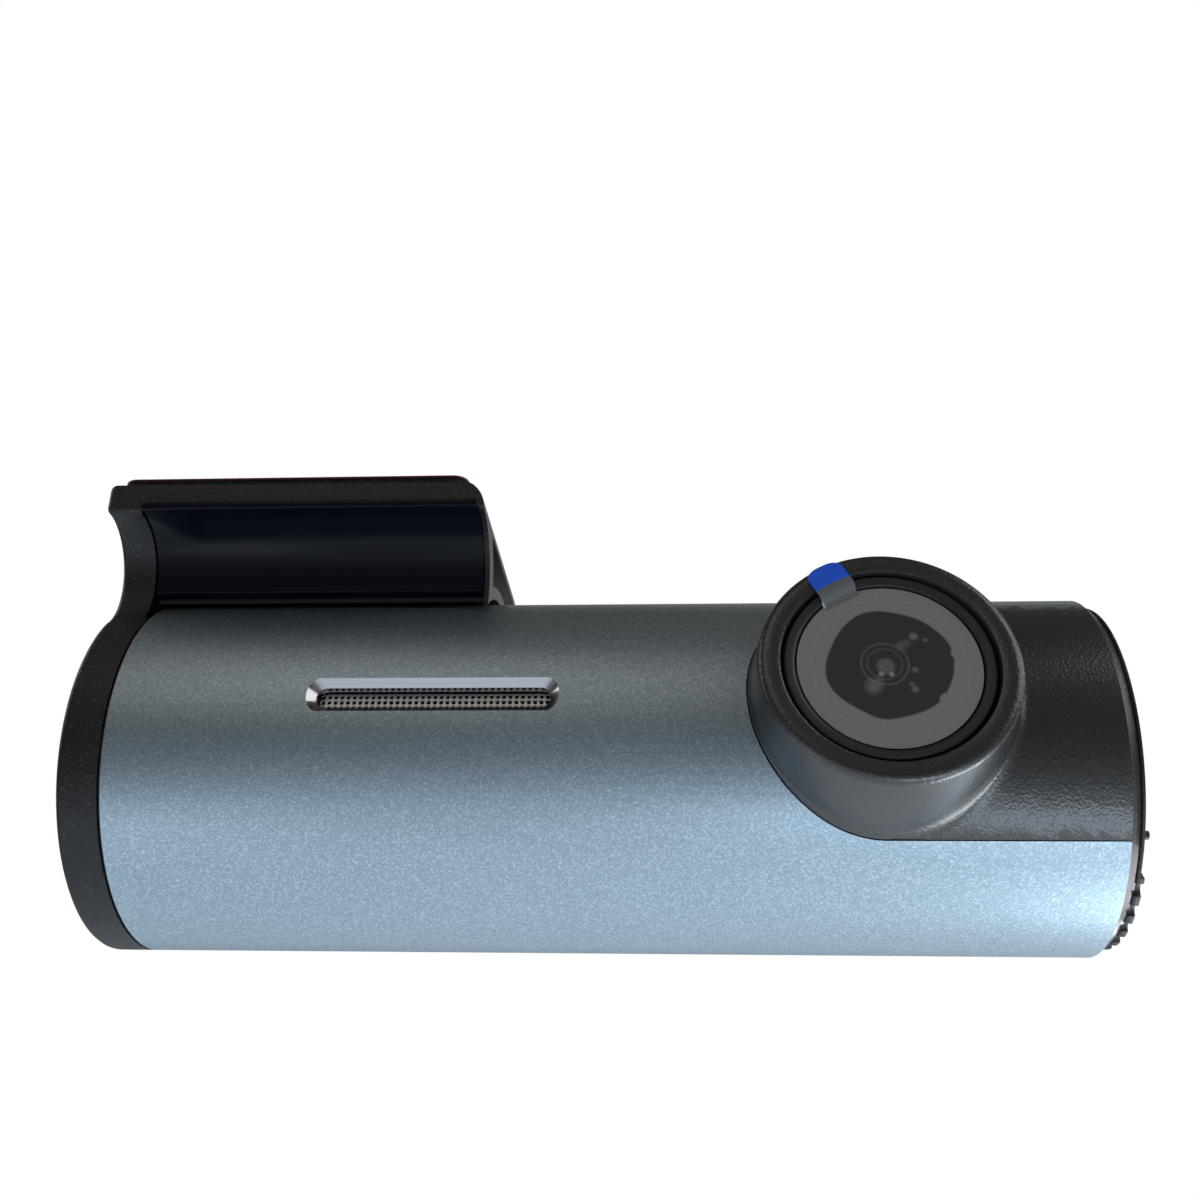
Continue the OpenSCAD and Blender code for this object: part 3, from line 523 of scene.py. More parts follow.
def protective_film():
    """Clear film: hazy where it stands off the glass, wetted flat in the middle, with bubbles and
    painted highlight rings.
    """
    made, tree, shade = finish_of("Protective film", ior=1.45, specular_ior_level=0.35)
    where = add(tree, "ShaderNodeTexCoord").outputs["Object"]
    flat, away = lens_mask(tree, where)
    wobble = add(tree, "ShaderNodeTexNoise", {"Vector": flat, "Scale": 120.0, "Detail": 1.0,
                                              "Roughness": 0.4})
    uneven = spread(tree, wobble.outputs["Fac"], -HAZE_WOBBLE, HAZE_WOBBLE)
    edge = add(tree, "ShaderNodeMath", {0: uneven, 1: away}, operation="ADD")
    haze = add(tree, "ShaderNodeMapRange", {"Value": edge.outputs[0], 1: HAZE_FROM,
                                            2: HAZE_FULL})
    milky = brightest(tree, [haze.outputs[0]] + [spot(tree, flat, *mark) for mark in BUBBLES])
    painted_ring_highlight = brightest(tree, [circle_line(tree, flat, *ring) for ring in PAINTED_RIM_HIGHLIGHTS])
    cloud = add(tree, "ShaderNodeTexNoise", {"Vector": flat, "Scale": 2600.0, "Detail": 4.0})
    milk = blend(tree, cloud.outputs["Fac"], (0.23, 0.23, 0.218), (0.28, 0.28, 0.268))
    tone = blend(tree, milky, (0.062, 0.066, 0.060), milk)
    # the rings lighten the film's colour: painted highlights of the lens rims
    colour = blend(tree, painted_ring_highlight, tone, (0.35, 0.35, 0.35))
    tree.links.new(colour, shade.inputs["Base Color"])
    tree.links.new(spread(tree, milky, 0.75, 0.96), shade.inputs["Alpha"])
    tree.links.new(spread(tree, milky, 0.25, 0.5), shade.inputs["Roughness"])
    bump = add(tree, "ShaderNodeBump", {"Strength": 0.15, "Distance": 0.0001, "Height": milky})
    tree.links.new(bump.outputs["Normal"], shade.inputs["Normal"])
    return made


def printed_tab():
    """Pull tab: clear near the film and blue at its end, with a painted highlight at its corner."""
    made, tree, shade = finish_of("Pull tab", ior=1.45)
    where = add(tree, "ShaderNodeTexCoord").outputs["Object"]
    flat, away = lens_mask(tree, where)
    blue = add(tree, "ShaderNodeMapRange", {"Value": away, 1: INK_FROM, 2: INK_FULL})
    cloud = add(tree, "ShaderNodeTexNoise", {"Vector": where, "Scale": 900.0, "Detail": 3.0})
    ink = blend(tree, cloud.outputs["Fac"], (0.010, 0.10, 0.72), (0.018, 0.14, 0.92))
    # a near-white spot in the tab's colour: a painted highlight
    painted_highlight = spot(tree, flat, *TAB_PAINTED_HIGHLIGHT)
    body = blend(tree, blue.outputs[0], (0.20, 0.205, 0.205), ink)
    tree.links.new(blend(tree, painted_highlight, body, (0.95, 0.97, 1.0)), shade.inputs["Base Color"])
    tree.links.new(spread(tree, blue.outputs[0], 0.7, 1.0), shade.inputs["Alpha"])
    tree.links.new(spread(tree, blue.outputs[0], 0.2, 0.38), shade.inputs["Roughness"])
    return made


paints = {
    "anodised_shell": anodised(),
    "grained_black": grained("Grained black", (0.014, 0.014, 0.0145), (0.045, 0.045, 0.055),
                             speck=0.63, specular_ior_level=0.4),
    "cover_black": grained("Satin black cover", (0.024, 0.024, 0.024), (0.04, 0.04, 0.045),
                           rough=(0.24, 0.3), scale=3600.0, depth=0.00004, speck=0.66,
                           specular_ior_level=0.9),
    "gloss_black": plain("Gloss black panel", (0.003, 0.004, 0.009), (0.006, 0.008, 0.015),
                         rough=(0.16, 0.26), specular_ior_level=0.15),
    "trim_black": grained("Satin black trim", (0.02, 0.02, 0.02), (0.03, 0.03, 0.03),
                          rough=(0.36, 0.5), scale=5000.0, depth=0.000008),
    "inner_plastic": grained("Moulded grey", (0.11, 0.11, 0.12), (0.15, 0.15, 0.16),
                             scale=2000.0),
    "cover_glass": plain("Cover glass", (0.02, 0.024, 0.024), (0.024, 0.028, 0.028),
                         rough=(0.02, 0.05), alpha=0.14, coat_weight=1.0, coat_roughness=0.02),
    "lens_glass": plain("Coated lens", (0.006, 0.006, 0.012), (0.02, 0.012, 0.03),
                        rough=(0.02, 0.05), scale=150.0, coat_weight=1.0, coat_roughness=0.02),
    "clear_film": protective_film(),
    "blue_tab": printed_tab(),
    "seal_rubber": grained("Seal rubber", (0.012, 0.012, 0.012), (0.03, 0.03, 0.03),
                           rough=(0.7, 0.85)),
    "black_metal": brushed("Blackened metal", (0.01, 0.01, 0.011), (0.03, 0.03, 0.032)),
    "bright_steel": brushed("Plated steel", (0.42, 0.42, 0.43), (0.62, 0.62, 0.63)),
    "mesh_steel": brushed("Mesh steel", (0.30, 0.30, 0.29), (0.52, 0.52, 0.50),
                          rough=(0.16, 0.28)),
    "plain_aluminium": brushed("Milled aluminium", (0.5, 0.51, 0.53), (0.68, 0.69, 0.71)),
    "circuit_board": grained("Solder mask", (0.008, 0.06, 0.025), (0.015, 0.11, 0.045),
                             rough=(0.25, 0.4), scale=900.0, depth=0.00001),
    "chip_black": grained("Chip package", (0.015, 0.015, 0.017), (0.03, 0.03, 0.035),
                          scale=4000.0),
    "thermal_grey": grained("Thermal pad", (0.25, 0.29, 0.38), (0.34, 0.38, 0.48),
                            rough=(0.7, 0.9)),
    "capacitor_blue": plain("Shrink sleeve", (0.01, 0.025, 0.10), (0.018, 0.04, 0.15)),
    "flex_amber": plain("Amber ribbon", (0.32, 0.14, 0.015), (0.45, 0.22, 0.03),
                        rough=(0.2, 0.35)),
    "bearing_plastic": grained("Bearing plastic", (0.62, 0.6, 0.52), (0.7, 0.68, 0.6),
                               scale=1500.0),
    "light_guide": plain("Frosted light guide", (0.5, 0.54, 0.58), (0.6, 0.64, 0.68),
                         rough=(0.35, 0.5)),
    "foam_black": grained("Foam tape", (0.006, 0.005, 0.005), (0.02, 0.018, 0.018),
                          rough=(0.85, 0.95), scale=2400.0, depth=0.00008, speck=0.5),
    "liner_red": plain("Release liner", (0.05, 0.006, 0.006), (0.09, 0.009, 0.009),
                       rough=(0.4, 0.55)),
    "polished_edge": brushed("Polished edge", (0.50, 0.49, 0.53), (0.62, 0.60, 0.64),
                             rough=(0.10, 0.22)),
}
slots = {part["node"]: part["material_slot"] for part in frame["record"]["subparts"]}
carrier = {node: body for body, nodes in frame["record"]["behaviour"]["bodies"].items()
           for node in nodes}
for node, obj in frame["nodes"].items():
    obj.data.materials.clear()
    obj.data.materials.append(paints[slots[node]])


# ---------------------------------------------------------------- metal shell
def cover_outline(grow):
    """Outline of the lens cover: a round end, and straight sides to the right end."""
    r = COVER_R + grow
    end = BODY_LEN - LENS_U + 6
    return [(end, -r)] + arc((0, 0), r, -90, -270, 72) + [(end, r)]


def stadium(length, width, steps=16):
    half = (length - width) / 2
    return arc((half, 0), width / 2, -90, 90, steps) + arc((-half, 0), width / 2, 90, 270, steps)


def chamfer_cutter():
    """Tool for the speaker slot: straight below, opening outwards through the surface."""
    length, width = SLOT_LEN - 2 * SLOT_CHAMFER, SLOT_W - 2 * SLOT_CHAMFER
    flare = SLOT_CHAMFER + 1.2
    obj = slab("Slot tool", stadium(length, width), 14, BODY_R - SLOT_CHAMFER)
    edit(obj)
    select_faces(obj, lambda c, n: n.z > 0.9)
    bpy.ops.mesh.extrude_region_move(TRANSFORM_OT_translate={"value": (0, 0, flare)})
    bpy.ops.transform.resize(value=((length + 2 * flare) / length,
                                    (width + 2 * flare) / width, 1))
    tidy_mesh()
    done()
    obj.data.materials.append(paints["polished_edge"])
    return obj


def to_bench(obj, where, bench):
    """Turns a tool drawn in one place's frame so that it meets a piece drawn in another's."""
    pick(obj)
    obj.matrix_world = bench.inverted() @ where
    bpy.ops.object.transform_apply(location=True, rotation=True, scale=True)
    return obj


tube_place = body_place @ ALONG
inner_r = BODY_R - SHELL_WALL
tube_start = DISC_T + SEAM
tube_profile = [(inner_r, tube_start), (BODY_R - 0.2, tube_start), (BODY_R, tube_start + 0.2),
                (BODY_R, SHELL_U1 - BEVEL_LEN), (BODY_R - BEVEL_DEPTH, SHELL_U1), (inner_r, SHELL_U1)]
tube = lathe("metal_shell", tube_profile, closed=True)
tube.data.materials.append(paints["anodised_shell"])
tube.data.materials.append(paints["polished_edge"])
for face in tube.data.polygons:
    if face.center.z > SHELL_U1 - BEVEL_LEN and face.center.xy.length > BODY_R - BEVEL_DEPTH:
        face.material_index = 1
cover_tool = slab("Cover tool", cover_outline(COVER_GAP), 5, 40)
port_outline = round_box(-PORT_HALF_LEN, -PORT_HALF_W, PORT_HALF_LEN, PORT_HALF_W, 2)
port_tool = slab("Port tool", port_outline, 10, 30)
for tool, tool_place in ((cover_tool, lens_place), (port_tool, port_place),
                         (chamfer_cutter(), slot_place)):
    combine(tube, to_bench(tool, tool_place, tube_place))
fit_piece(tube, tube_place, "camera", None, ["shell"], smooth=25)


# ---------------------------------------------------------------- black cover with its lens barrel
def lens_cover():
    """Turned flat, trimmed to its outline, then draped over the tube."""
    skirt_r = 13.3
    barrel_foot = 19.3
    fillet = 0.9
    rim_out = 11.75
    profile = [(APERTURE_R, 14), (APERTURE_R, SEAT_Z), (RECESS_R, SEAT_Z),
               (RECESS_R, RIM_Z - 0.25), (RECESS_R + 0.08, RIM_Z - 0.08),
               (RECESS_R + 0.25, RIM_Z)]
    profile += arc((rim_out - fillet, RIM_Z - fillet), fillet, 90, 10, 8)
    profile += [(12.08, 19.2), (12.13, 18.75), (12.24, 18.45), (COVER_R, 18.24),
                (12.62, 18.1), (12.95, 18.02), (skirt_r, BODY_R), (15, BODY_R), (18, BODY_R),
                (22, BODY_R), (28, BODY_R)]
    obj = lathe("lens_cover", profile)
    end = SHELL_U1 - LENS_U
    cuts = [((0, 0, 0), (-1, 0, 0), False), ((end, 0, 0), (1, 0, 0), True),
            ((end - BEVEL_LEN, 0, 0), (1, 0, 0), False),
            ((0, COVER_R, 0), (0, 1, 0), True), ((0, -COVER_R, 0), (0, -1, 0), True)]
    edit(obj)
    for point, normal, clear in cuts:
        bpy.ops.mesh.select_all(action="SELECT")
        bpy.ops.mesh.bisect(plane_co=point, plane_no=normal, clear_outer=clear)
    select_faces(obj, lambda c, n: c.x < 0 and c.xy.length > COVER_R)
    bpy.ops.mesh.delete(type="FACE")
    for k in range(-9, 10):
        select_faces(obj, lambda c, n: c.x > 0 and c.xy.length > skirt_r - 0.1)
        bpy.ops.mesh.bisect(plane_co=(0, k * 1.25, 0), plane_no=(0, 1, 0))
    for k in range(1, 5):
        select_faces(obj, lambda c, n: c.x > 13 and c.xy.length > skirt_r - 0.1)
        bpy.ops.mesh.bisect(plane_co=(skirt_r + k * 1.8, 0, 0), plane_no=(1, 0, 0))
    done()
    deepest = 6.5
    drape = obj.vertex_groups.new(name="Drape")
    for v in obj.data.vertices:
        if v.co.xy.length < 11:
            continue
        leaving = min(max((v.co.x - end + BEVEL_LEN) / BEVEL_LEN, 0), 1)
        radius = BODY_R - BEVEL_DEPTH * leaving
        drop = BODY_R - math.sqrt(max(radius ** 2 - v.co.y ** 2, 0))
        drape.add([v.index], drop / deepest if v.co.z < barrel_foot else 0, "REPLACE")
    run_modifier(obj, "DISPLACE", strength=-deepest, mid_level=0, direction="Z",
                 vertex_group="Drape")
    edit(obj)
    bpy.ops.mesh.select_mode(type="EDGE")
    bpy.ops.mesh.select_all(action="DESELECT")
    bpy.ops.mesh.select_non_manifold()
    bpy.ops.mesh.extrude_region_move(TRANSFORM_OT_translate={"value": (0, 0, -1.2)})
    bpy.ops.mesh.bridge_edge_loops()
    tidy_mesh()
    done()
    soften(obj, 0.16, 2, 42)
    return obj


fit_piece(lens_cover(), lens_place, "camera", paints["cover_black"],
          ["lens_housing"])

ring = lathe("trim_ring", [(8.35, SEAT_Z), (9.5, SEAT_Z), (9.36, 22.9), (9.3, 23.1), (9.2, 23.18),
                           (8.7, 23.12), (8.5, 23.05), (8.38, 22.95), (8.35, 22.8)], closed=True)
fit_piece(ring, lens_place, "camera", paints["trim_black"], ["lens_ring"])

film = lathe("protective_film", [(0, FILM_Z), (FILM_R - 0.02, FILM_Z), (FILM_R, FILM_Z + 0.03),
                                 (FILM_R, FILM_Z + 0.07), (FILM_R - 0.04, FILM_Z + 0.1),
                                 (7, FILM_Z + 0.1), (3, FILM_Z + 0.1), (0, FILM_Z + 0.1)])
fit_piece(film, lens_place, "camera", paints["clear_film"], ["lens_film"])

front_lens = lathe("front_lens", [(0, 18.4), (2.5, 18.4)] + arc((0, 16.4), 4.0, 51, 90, 12))
fit_piece(front_lens, lens_place, "camera", paints["lens_glass"], ["front_element"])

baffle = lathe("light_baffle", [(6.95, 20.7), (6.95, 19.8), (2.8, 19.8), (2.8, 19.95), (3.0, 20.1),
                                (3.4, 20.3), (3.9, 20.42), (4.0, 20.55), (5.2, 20.58), (5.3, 20.7)],
               closed=True)
fit_piece(baffle, lens_place, "camera", paints["trim_black"], ["lens_baffle"])


def pull_tab():
    """Strip that leaves the film, climbs over the ring and lies above the rim."""
    wide = 3.6
    tip = 11.5
    turn = 28.7
    path = [(7.6, FILM_Z + 0.12), (8.0, FILM_Z + 0.14), (8.25, FILM_Z + 0.3),
            (8.5, RIM_Z + 0.02), (8.9, RIM_Z + 0.14), (9.6, RIM_Z + 0.17),
            (10.6, RIM_Z + 0.15), (tip, RIM_Z + 0.12)]
    obj = draw_line("film_pull_tab", [(r, -wide / 2, z) for r, z in path])
    bpy.ops.mesh.extrude_region_move(TRANSFORM_OT_translate={"value": (0, wide, 0)})
    bpy.ops.mesh.select_mode(type="VERT")
    bpy.ops.mesh.select_all(action="DESELECT")
    done()
    for v in obj.data.vertices:
        v.select = v.co.x > tip - 0.05
    bpy.ops.object.mode_set(mode="EDIT")
    bpy.ops.mesh.bevel(affect="VERTICES", offset=1.4, segments=8)
    tidy_mesh()
    done()
    run_modifier(obj, "SOLIDIFY", thickness=0.1, offset=0)
    pick(obj)
    obj.matrix_world = Matrix.Rotation(math.radians(turn + 90), 4, "Z")
    bpy.ops.object.transform_apply(location=True, rotation=True, scale=True)
    return obj


fit_piece(pull_tab(), lens_place, "camera", paints["blue_tab"], ["pull_tab"],
          smooth=50)


# ---------------------------------------------------------------- speaker mesh
def speaker_mesh():
    """Perforated sheet: a grid whose cells are inset, opened and rounded."""
    pitch = 0.6
    long_cells, wide_cells = 43, 9
    top = 16.2
    pick()
    bpy.ops.mesh.primitive_grid_add(x_subdivisions=long_cells, y_subdivisions=wide_cells, size=1)
    obj = bpy.context.active_object
    obj.name = "speaker_grille"
    edit(obj)
    bpy.ops.mesh.select_all(action="SELECT")
    bpy.ops.transform.resize(value=(long_cells * pitch, wide_cells * pitch, 1))
    bpy.ops.transform.translate(value=(0, 0, top))
    bpy.ops.mesh.inset(thickness=0.13, use_individual=True, use_boundary=True)
    bpy.ops.mesh.delete(type="FACE")
    bpy.ops.mesh.select_all(action="SELECT")
    bpy.ops.mesh.normals_make_consistent(inside=False)
    done()
    run_modifier(obj, "SOLIDIFY", thickness=0.22, offset=-1)
    run_modifier(obj, "SUBSURF", levels=1, render_levels=1)
    return obj


fit_piece(speaker_mesh(), slot_place, "camera", paints["mesh_steel"],
          ["speaker_mesh"], smooth=60)


# ---------------------------------------------------------------- arm
def meet(radius, distance):
    """Angle at the neck's centre to where a circle of that radius meets one about the axis."""
    reach = math.hypot(NECK_Y, NECK_Z)
    cosine = (reach ** 2 + radius ** 2 - distance ** 2) / (2 * reach * radius)
    return math.degrees(math.acos(cosine))


def bearing(point):
    """Direction of a point from the body axis, in degrees."""
    return math.degrees(math.atan2(point[1], point[0]))


def neck_point(radius, angle):
    """Point on a circle about the neck's centre, the angle in degrees."""
    turn = math.radians(angle)
    return (NECK_Y + radius * math.cos(turn), NECK_Z + radius * math.sin(turn))


TO_AXIS = math.degrees(math.atan2(-NECK_Z, -NECK_Y))
NECK_TOP = math.degrees(math.asin((LIP_Z0 - NECK_Z) / NECK_R))


def lip_front():
    """Front of the lip from its top to the neck, with round edges."""
    r = FRONT_EDGE_R
    return (arc((LIP_Y0 + r, LIP_Z1 - r), r, 90, 180, 6)
            + arc((LIP_Y0 + r, LIP_Z0 + r), r, 180, 262, 6))


def disc_outline():
    """Left cap: disc, web and lip, with the concave neck in front."""
    r = BACK_EDGE_R
    back = (LIP_Y1 - r, LIP_Z0 + r)
    touch = bearing(back) - math.degrees(math.acos(BODY_R / math.hypot(*back)))
    front = bearing((NECK_Y, NECK_Z))
    return (arc((LIP_Y1 - r, LIP_Z1 - r), r, 0, 90, 4) + lip_front()
            + arc((NECK_Y, NECK_Z), NECK_R, NECK_TOP, TO_AXIS + 3, 22)
            + arc((0, 0), BODY_R, front + 1, 360 + touch, 110) + [back])


def bracket_outline():
    """Section of the arm right of the cap: lip, neck wall and the skin over the tube."""
    def back_end(radius):
        return math.degrees(math.acos((LIP_Y1 - 0.3) / radius))
    r = BACK_EDGE_R
    front_start = TO_AXIS + meet(NECK_R, SKIN_R0)
    back_start = TO_AXIS + meet(NECK_BACK_R, SKIN_R1)
    front_turn = bearing(neck_point(NECK_R, front_start))
    back_turn = bearing(neck_point(NECK_BACK_R, back_start))
    top = math.degrees(math.asin((LIP_Z0 - NECK_Z) / NECK_BACK_R))
    return (arc((LIP_Y1 - r, LIP_Z1 - r), r, 0, 90, 4) + lip_front()
            + arc((NECK_Y, NECK_Z), NECK_R, NECK_TOP, front_start, 22)
            + arc((0, 0), SKIN_R0, front_turn, back_end(SKIN_R0), 28)[1:]
            + arc((0, 0), SKIN_R1, back_end(SKIN_R1), back_turn, 28)[:-1]
            + arc((NECK_Y, NECK_Z), NECK_BACK_R, back_start, top, 12)
            + arc((LIP_Y1 - r, LIP_Z0 + r), r, 270, 360, 4))


def neck_sector(inner, outer, bottom, top):
    return (arc((NECK_Y, NECK_Z), outer, bottom, top, 24)
            + arc((NECK_Y, NECK_Z), inner, top, bottom, 24))


def neck_tool(inner, outer, low, u0, u1, corner):
    """Curved tool or panel for the neck, with round right corners."""
    obj = slab("gloss_panel", neck_sector(inner, outer, low, PANEL_HIGH), u0, u1)
    edit(obj)
    select_edges(obj, lambda p: p.z > u1 - 0.01 and (
        abs(math.degrees(math.atan2(p.y - NECK_Z, p.x - NECK_Y)) - PANEL_HIGH) < 0.2))
    bpy.ops.mesh.bevel(offset=corner, segments=6)
    tidy_mesh()
    done()
    return obj


def arm_body():
    """Cap and bracket in one moulding."""
    overlap = 0.6
    pocket_low = -40
    cap = slab("arm_body", disc_outline(), 0, DISC_T)
    cap.data.materials.append(paints["grained_black"])
    edit(cap)
    select_edges(cap, lambda p: p.z < 0.01)
    bpy.ops.mesh.bevel(offset=0.7, segments=4)
    done()
    combine(cap, slab("Bracket", bracket_outline(), DISC_T - overlap, ARM_LEN), "UNION")
    r = 3.2
    corner = [(LIP_Z1 - r, ARM_LEN), (LIP_Z1 - r, ARM_LEN + 5), (LIP_Z1 + 5, ARM_LEN + 5),
              (LIP_Z1 + 5, ARM_LEN - r)] + arc((LIP_Z1 - r, ARM_LEN - r), r, 0, 90, 12)[:-1]
    tool = slab("Corner tool", corner, -30, 30)
    pick(tool)
    tool.matrix_world = Matrix(((0, 0, 1, 0), (1, 0, 0, 0), (0, 1, 0, 0), (0, 0, 0, 1)))
    bpy.ops.object.transform_apply(location=True, rotation=True, scale=True)
    combine(cap, tool)
    pocket_with_painted_shade = neck_tool(NECK_R - 0.8, NECK_R + PANEL_SINK + PANEL_T, pocket_low, BORDER_U0,
                       BORDER_U1, 1.5)
    # the cut walls take this darker gloss black, so the recess under the panel gets painted shade
    pocket_with_painted_shade.data.materials.append(paints["gloss_black"])
    combine(cap, pocket_with_painted_shade)
    groove = [(-13.5, LIP_Z1 - 1.3), (6.5, LIP_Z1 - 1.3), (5.7, LIP_Z1 + 1),
              (-12.7, LIP_Z1 + 1)]
    combine(cap, slab("Groove tool", groove, DISC_T, ARM_LEN + 2))
    combine(cap, lathe("Hub tool", [(0, -2), (HUB_R, -2), (HUB_R, HUB_DEPTH), (0, HUB_DEPTH)]))
    soften(cap, 0.14, 2, 50)
    return cap


across_place = mount_place @ ACROSS
fit_piece(arm_body(), across_place, "arm", None, ["arm"], even=True)
panel = neck_tool(NECK_R + PANEL_SINK, NECK_R + PANEL_SINK + PANEL_T - 0.05, PANEL_LOW,
                  BORDER_U0 + 0.06, BORDER_U1 - 0.06, 1.4)
soften(panel, 0.15, 3, 50)
fit_piece(panel, across_place, "arm", paints["gloss_black"], ["neck_panel"])

hub_cap = lathe("hub_cap", [(0, 0.35), (6.2, 0.35), (6.4, 0.55), (6.7, 0.55), (6.9, 0.35),
                            (8.4, 0.1), (8.8, 0.15), (8.93, 0.35), (8.93, 0.8), (0, 0.8)])
fit_piece(hub_cap, mount_place @ ALONG, "arm", paints["gloss_black"], ["hub_cover"])
boss = lathe("arm_boss", [(4.6, HUB_DEPTH), (8, HUB_DEPTH), (8, 9.6), (7.6, 10), (4.6, 10)],
             closed=True)
fit_piece(boss, mount_place @ ALONG, "arm", paints["grained_black"])


# ---------------------------------------------------------------- windscreen plate, foam and liner
PAD = (0.4, LIP_Y0 + PAD_SETBACK, ARM_LEN - 2.2, LIP_Y1 - PAD_SETBACK)
FLANGE_Z = LIP_Z1 + 0.15
FOAM_Z = FLANGE_Z + 0.5
LINER_Z = FOAM_Z + 0.45
PAD_Z = -AXIS.z


def pad_layer(name, low, high, round_edge, inset=0.0):
    x0, y0, x1, y1 = PAD
    obj = slab(name, round_box(x0 + inset, y0 + inset, x1 - inset, y1 - inset, 1.5), low, high)
    soften(obj, round_edge, 2, 50)
    return obj


plate = pad_layer("mount_plate", FLANGE_Z, FOAM_Z, 0.12)
rail = [(-13.4, LIP_Z1 - 1.2), (6.4, LIP_Z1 - 1.2), (5.6, LIP_Z1 + 0.3),
        (-12.6, LIP_Z1 + 0.3)]
tongue = slab("Tongue", rail, RAIL_U0, RAIL_U1)
combine(plate, to_bench(tongue, across_place, mount_place), "UNION")
fit_piece(plate, mount_place, "windscreen_mount", paints["grained_black"],
          ["windscreen_plate"])
fit_piece(pad_layer("foam_tape", FOAM_Z, LINER_Z, 0.1, 0.08), mount_place, "windscreen_mount",
          paints["foam_black"], ["foam_pad"])
fit_piece(pad_layer("red_liner", LINER_Z, PAD_Z, 0.05), mount_place, "windscreen_mount",
          paints["liner_red"], ["release_liner"])


# ---------------------------------------------------------------- right end
# these nodes keep their shape and get soft edges: node, piece, edge width in millimetres
SOFTENED = (("right_end_cap", "end_cap", 0.1), ("power_button", "power_key", 0.25),
            ("light_ring", "button_light_ring", 0.08), ("port_panel", "port_insert", 0.12),
            ("memory_card", "card_body", 0.12), ("usb_socket", "power_socket", 0.08))
for node, name, width in SOFTENED:
    piece = copy_of(node, name)
    soften(piece, width * MM, 2, 45)
    fit_piece(piece, None, carrier[node], paints[slots[node]], [node])


# ---------------------------------------------------------------- studio
def area_light(name, where, aim, size, power, colour):
    data = bpy.data.lights.new(name, "AREA")
    data.shape = "RECTANGLE"
    data.size, data.size_y = size
    data.energy = power
    data.color = colour
    obj = bpy.data.objects.new(name, data)
    bpy.context.scene.collection.objects.link(obj)
    obj.location = where
    obj.rotation_mode = "QUATERNION"
    obj.rotation_quaternion = (Vector(aim) - Vector(where)).to_track_quat("-Z", "Y")
    obj.visible_camera = False


MIDDLE = (cad_low + cad_high) / 2
# name, place, aim and size in metres, power, colour
LIGHTS = (
    ("Low right light", (0.155, 0.02, -0.121), (0.06, 0.0, -0.03), (0.08, 0.08), 0.12,
     (0.84, 0.94, 1.0)),
    ("High light", (-0.06, -0.25, 0.22), MIDDLE, (0.24, 0.24), 0.095, (1.0, 0.92, 0.86)),
    ("Back right light", (0.42, 0.30, 0.045), MIDDLE, (0.34, 0.34), 0.6, (1.0, 0.93, 0.91)),
    ("Upper right light", (0.257, -0.072, 0.126), (0.0, -0.014, -0.025), (0.22, 0.22), 0.2,
     (1, 1, 1)),
    ("Upper left light", (-0.235, 0.037, 0.11), (0.03, -0.014, -0.025), (0.16, 0.16), 0.12,
     (1, 1, 1)),
    ("Low front light", (0.13, -0.115, -0.138), (0.07, -0.01, -0.035), (0.12, 0.03), 0.05,
     (0.72, 0.86, 1.0)),
    ("Low left light", (-0.075, -0.088, -0.12), (-0.017, -0.009, -0.006), (0.06, 0.05), 0.007,
     (0.8, 0.88, 1.0)),
    ("Back light", (0.10, 0.30, 0.10), MIDDLE, (0.3, 0.3), 0.12, (1, 1, 1)),
)
for light in LIGHTS:
    area_light(*light)

FLOOR_Z = -0.15
FLOOR_SIZE = 2.4
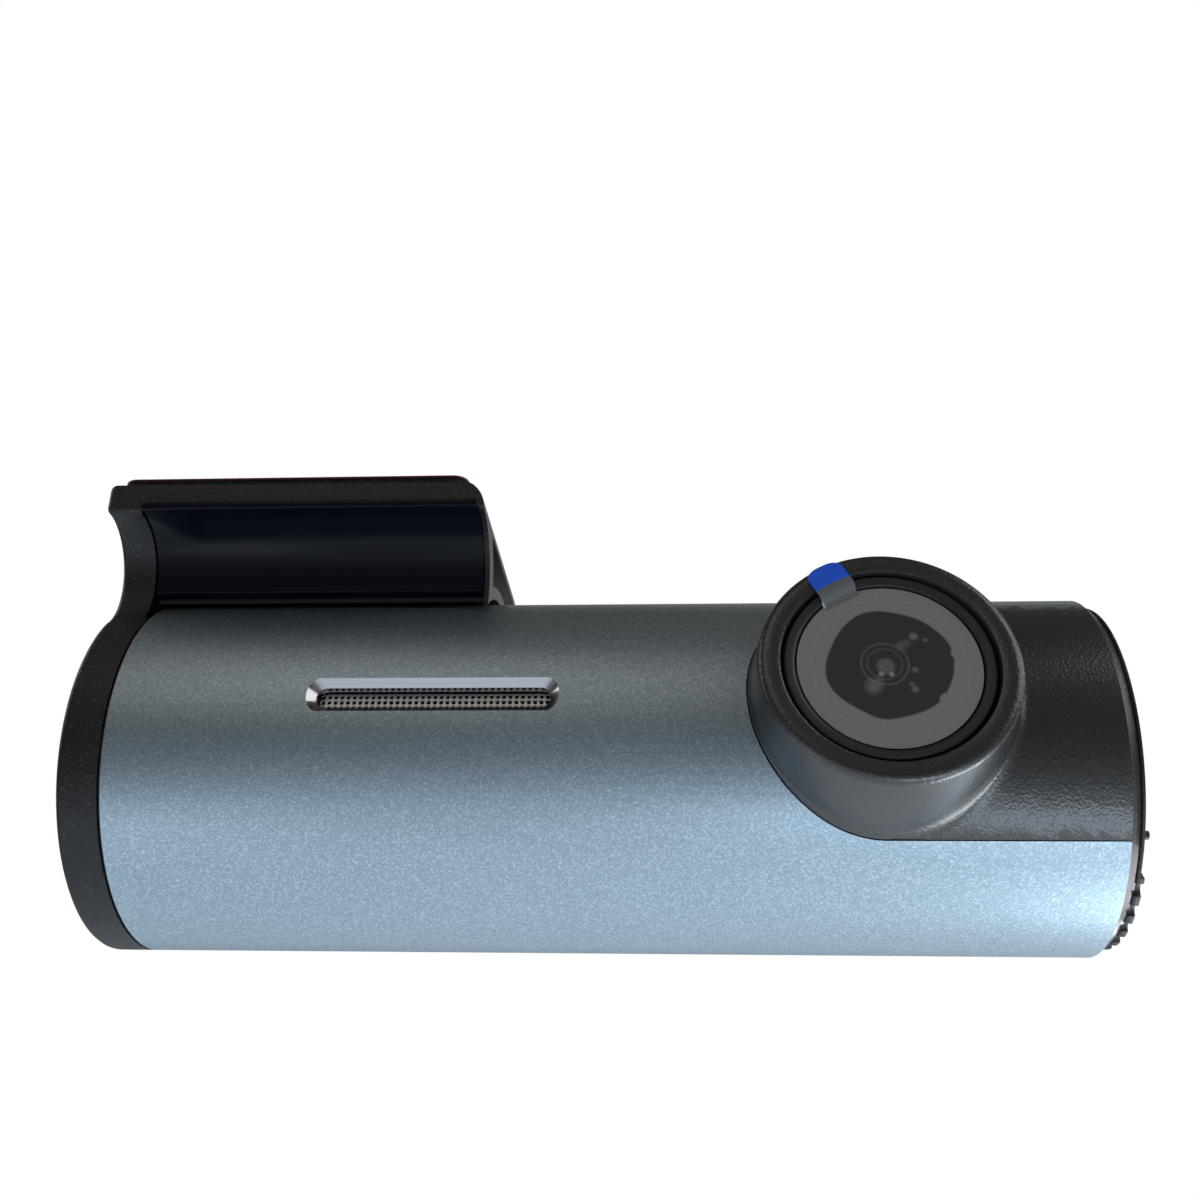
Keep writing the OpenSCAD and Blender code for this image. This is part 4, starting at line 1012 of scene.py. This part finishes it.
# glow near the middle and far from it, with the two distances in metres
POOL_GLOW, POOL_R = 0.61, 0.06
FAR_GLOW, FAR_R = 0.12, 0.5
SEEN_GLOW = 0.62
pick()
bpy.ops.mesh.primitive_plane_add(size=FLOOR_SIZE, location=(0, 0, FLOOR_Z))
floor = bpy.context.active_object
floor.name = "floor"
floor_paint, tree, shade = finish_of("Pale glowing floor", roughness=0.9,
                                     emission_color=(0.66, 0.83, 1.0, 1.0))
shade.inputs["Base Color"].default_value = (0.9, 0.9, 0.9, 1)
on_floor = add(tree, "ShaderNodeTexCoord").outputs["Object"]
from_middle = add(tree, "ShaderNodeVectorMath", {0: on_floor}, operation="LENGTH")
pool = add(tree, "ShaderNodeMapRange", {"Value": from_middle.outputs["Value"], 1: POOL_R,
                                        2: FAR_R, 3: POOL_GLOW, 4: FAR_GLOW})
by_camera = add(tree, "ShaderNodeLightPath").outputs["Is Camera Ray"]
seen_glow = add(tree, "ShaderNodeMath", {0: by_camera, 1: SEEN_GLOW}, operation="MULTIPLY")
glow = brightest(tree, [pool.outputs[0], seen_glow.outputs[0]])
tree.links.new(glow, shade.inputs["Emission Strength"])
floor.data.materials.append(floor_paint)

LOW_SKY, HIGH_SKY = (0.5, 0.6, 0.72), (0.098, 0.085, 0.074)
HORIZON = (-0.3, 0.02)
world = bpy.data.worlds.new("Studio")
world.use_nodes = True
bpy.context.scene.world = world
tree = world.node_tree
tree.nodes.clear()
towards = add(tree, "ShaderNodeTexCoord").outputs["Generated"]
height = add(tree, "ShaderNodeSeparateXYZ", {0: towards}).outputs["Z"]
level = add(tree, "ShaderNodeMapRange", {"Value": height, 1: HORIZON[0], 2: HORIZON[1]})
tint = blend(tree, level.outputs[0], LOW_SKY, HIGH_SKY)
around = add(tree, "ShaderNodeBackground", {"Color": tint, "Strength": 1.0})
seen = add(tree, "ShaderNodeBackground", {"Color": (1, 1, 1, 1), "Strength": 1.0})
ray = add(tree, "ShaderNodeLightPath")
mixed = add(tree, "ShaderNodeMixShader", {0: ray.outputs["Is Camera Ray"],
                                          1: around.outputs[0], 2: seen.outputs[0]})
add(tree, "ShaderNodeOutputWorld", {"Surface": mixed.outputs[0]})

CAMERA_FROM_AXIS = Vector((58.209, -131.754, -35.731))
CAMERA_TURN = (112.906, -0.905, 3.288)
camera_data = bpy.data.cameras.new("Camera")
camera_data.sensor_width = 36.0
camera_data.lens = 38.72
camera_data.clip_start = 0.005
camera = bpy.data.objects.new("Camera", camera_data)
bpy.context.scene.collection.objects.link(camera)
camera.location = (AXIS + CAMERA_FROM_AXIS) * MM
camera.rotation_euler = [math.radians(turn) for turn in CAMERA_TURN]
bpy.context.scene.camera = camera
bpy.context.scene.view_settings.view_transform = "Standard"
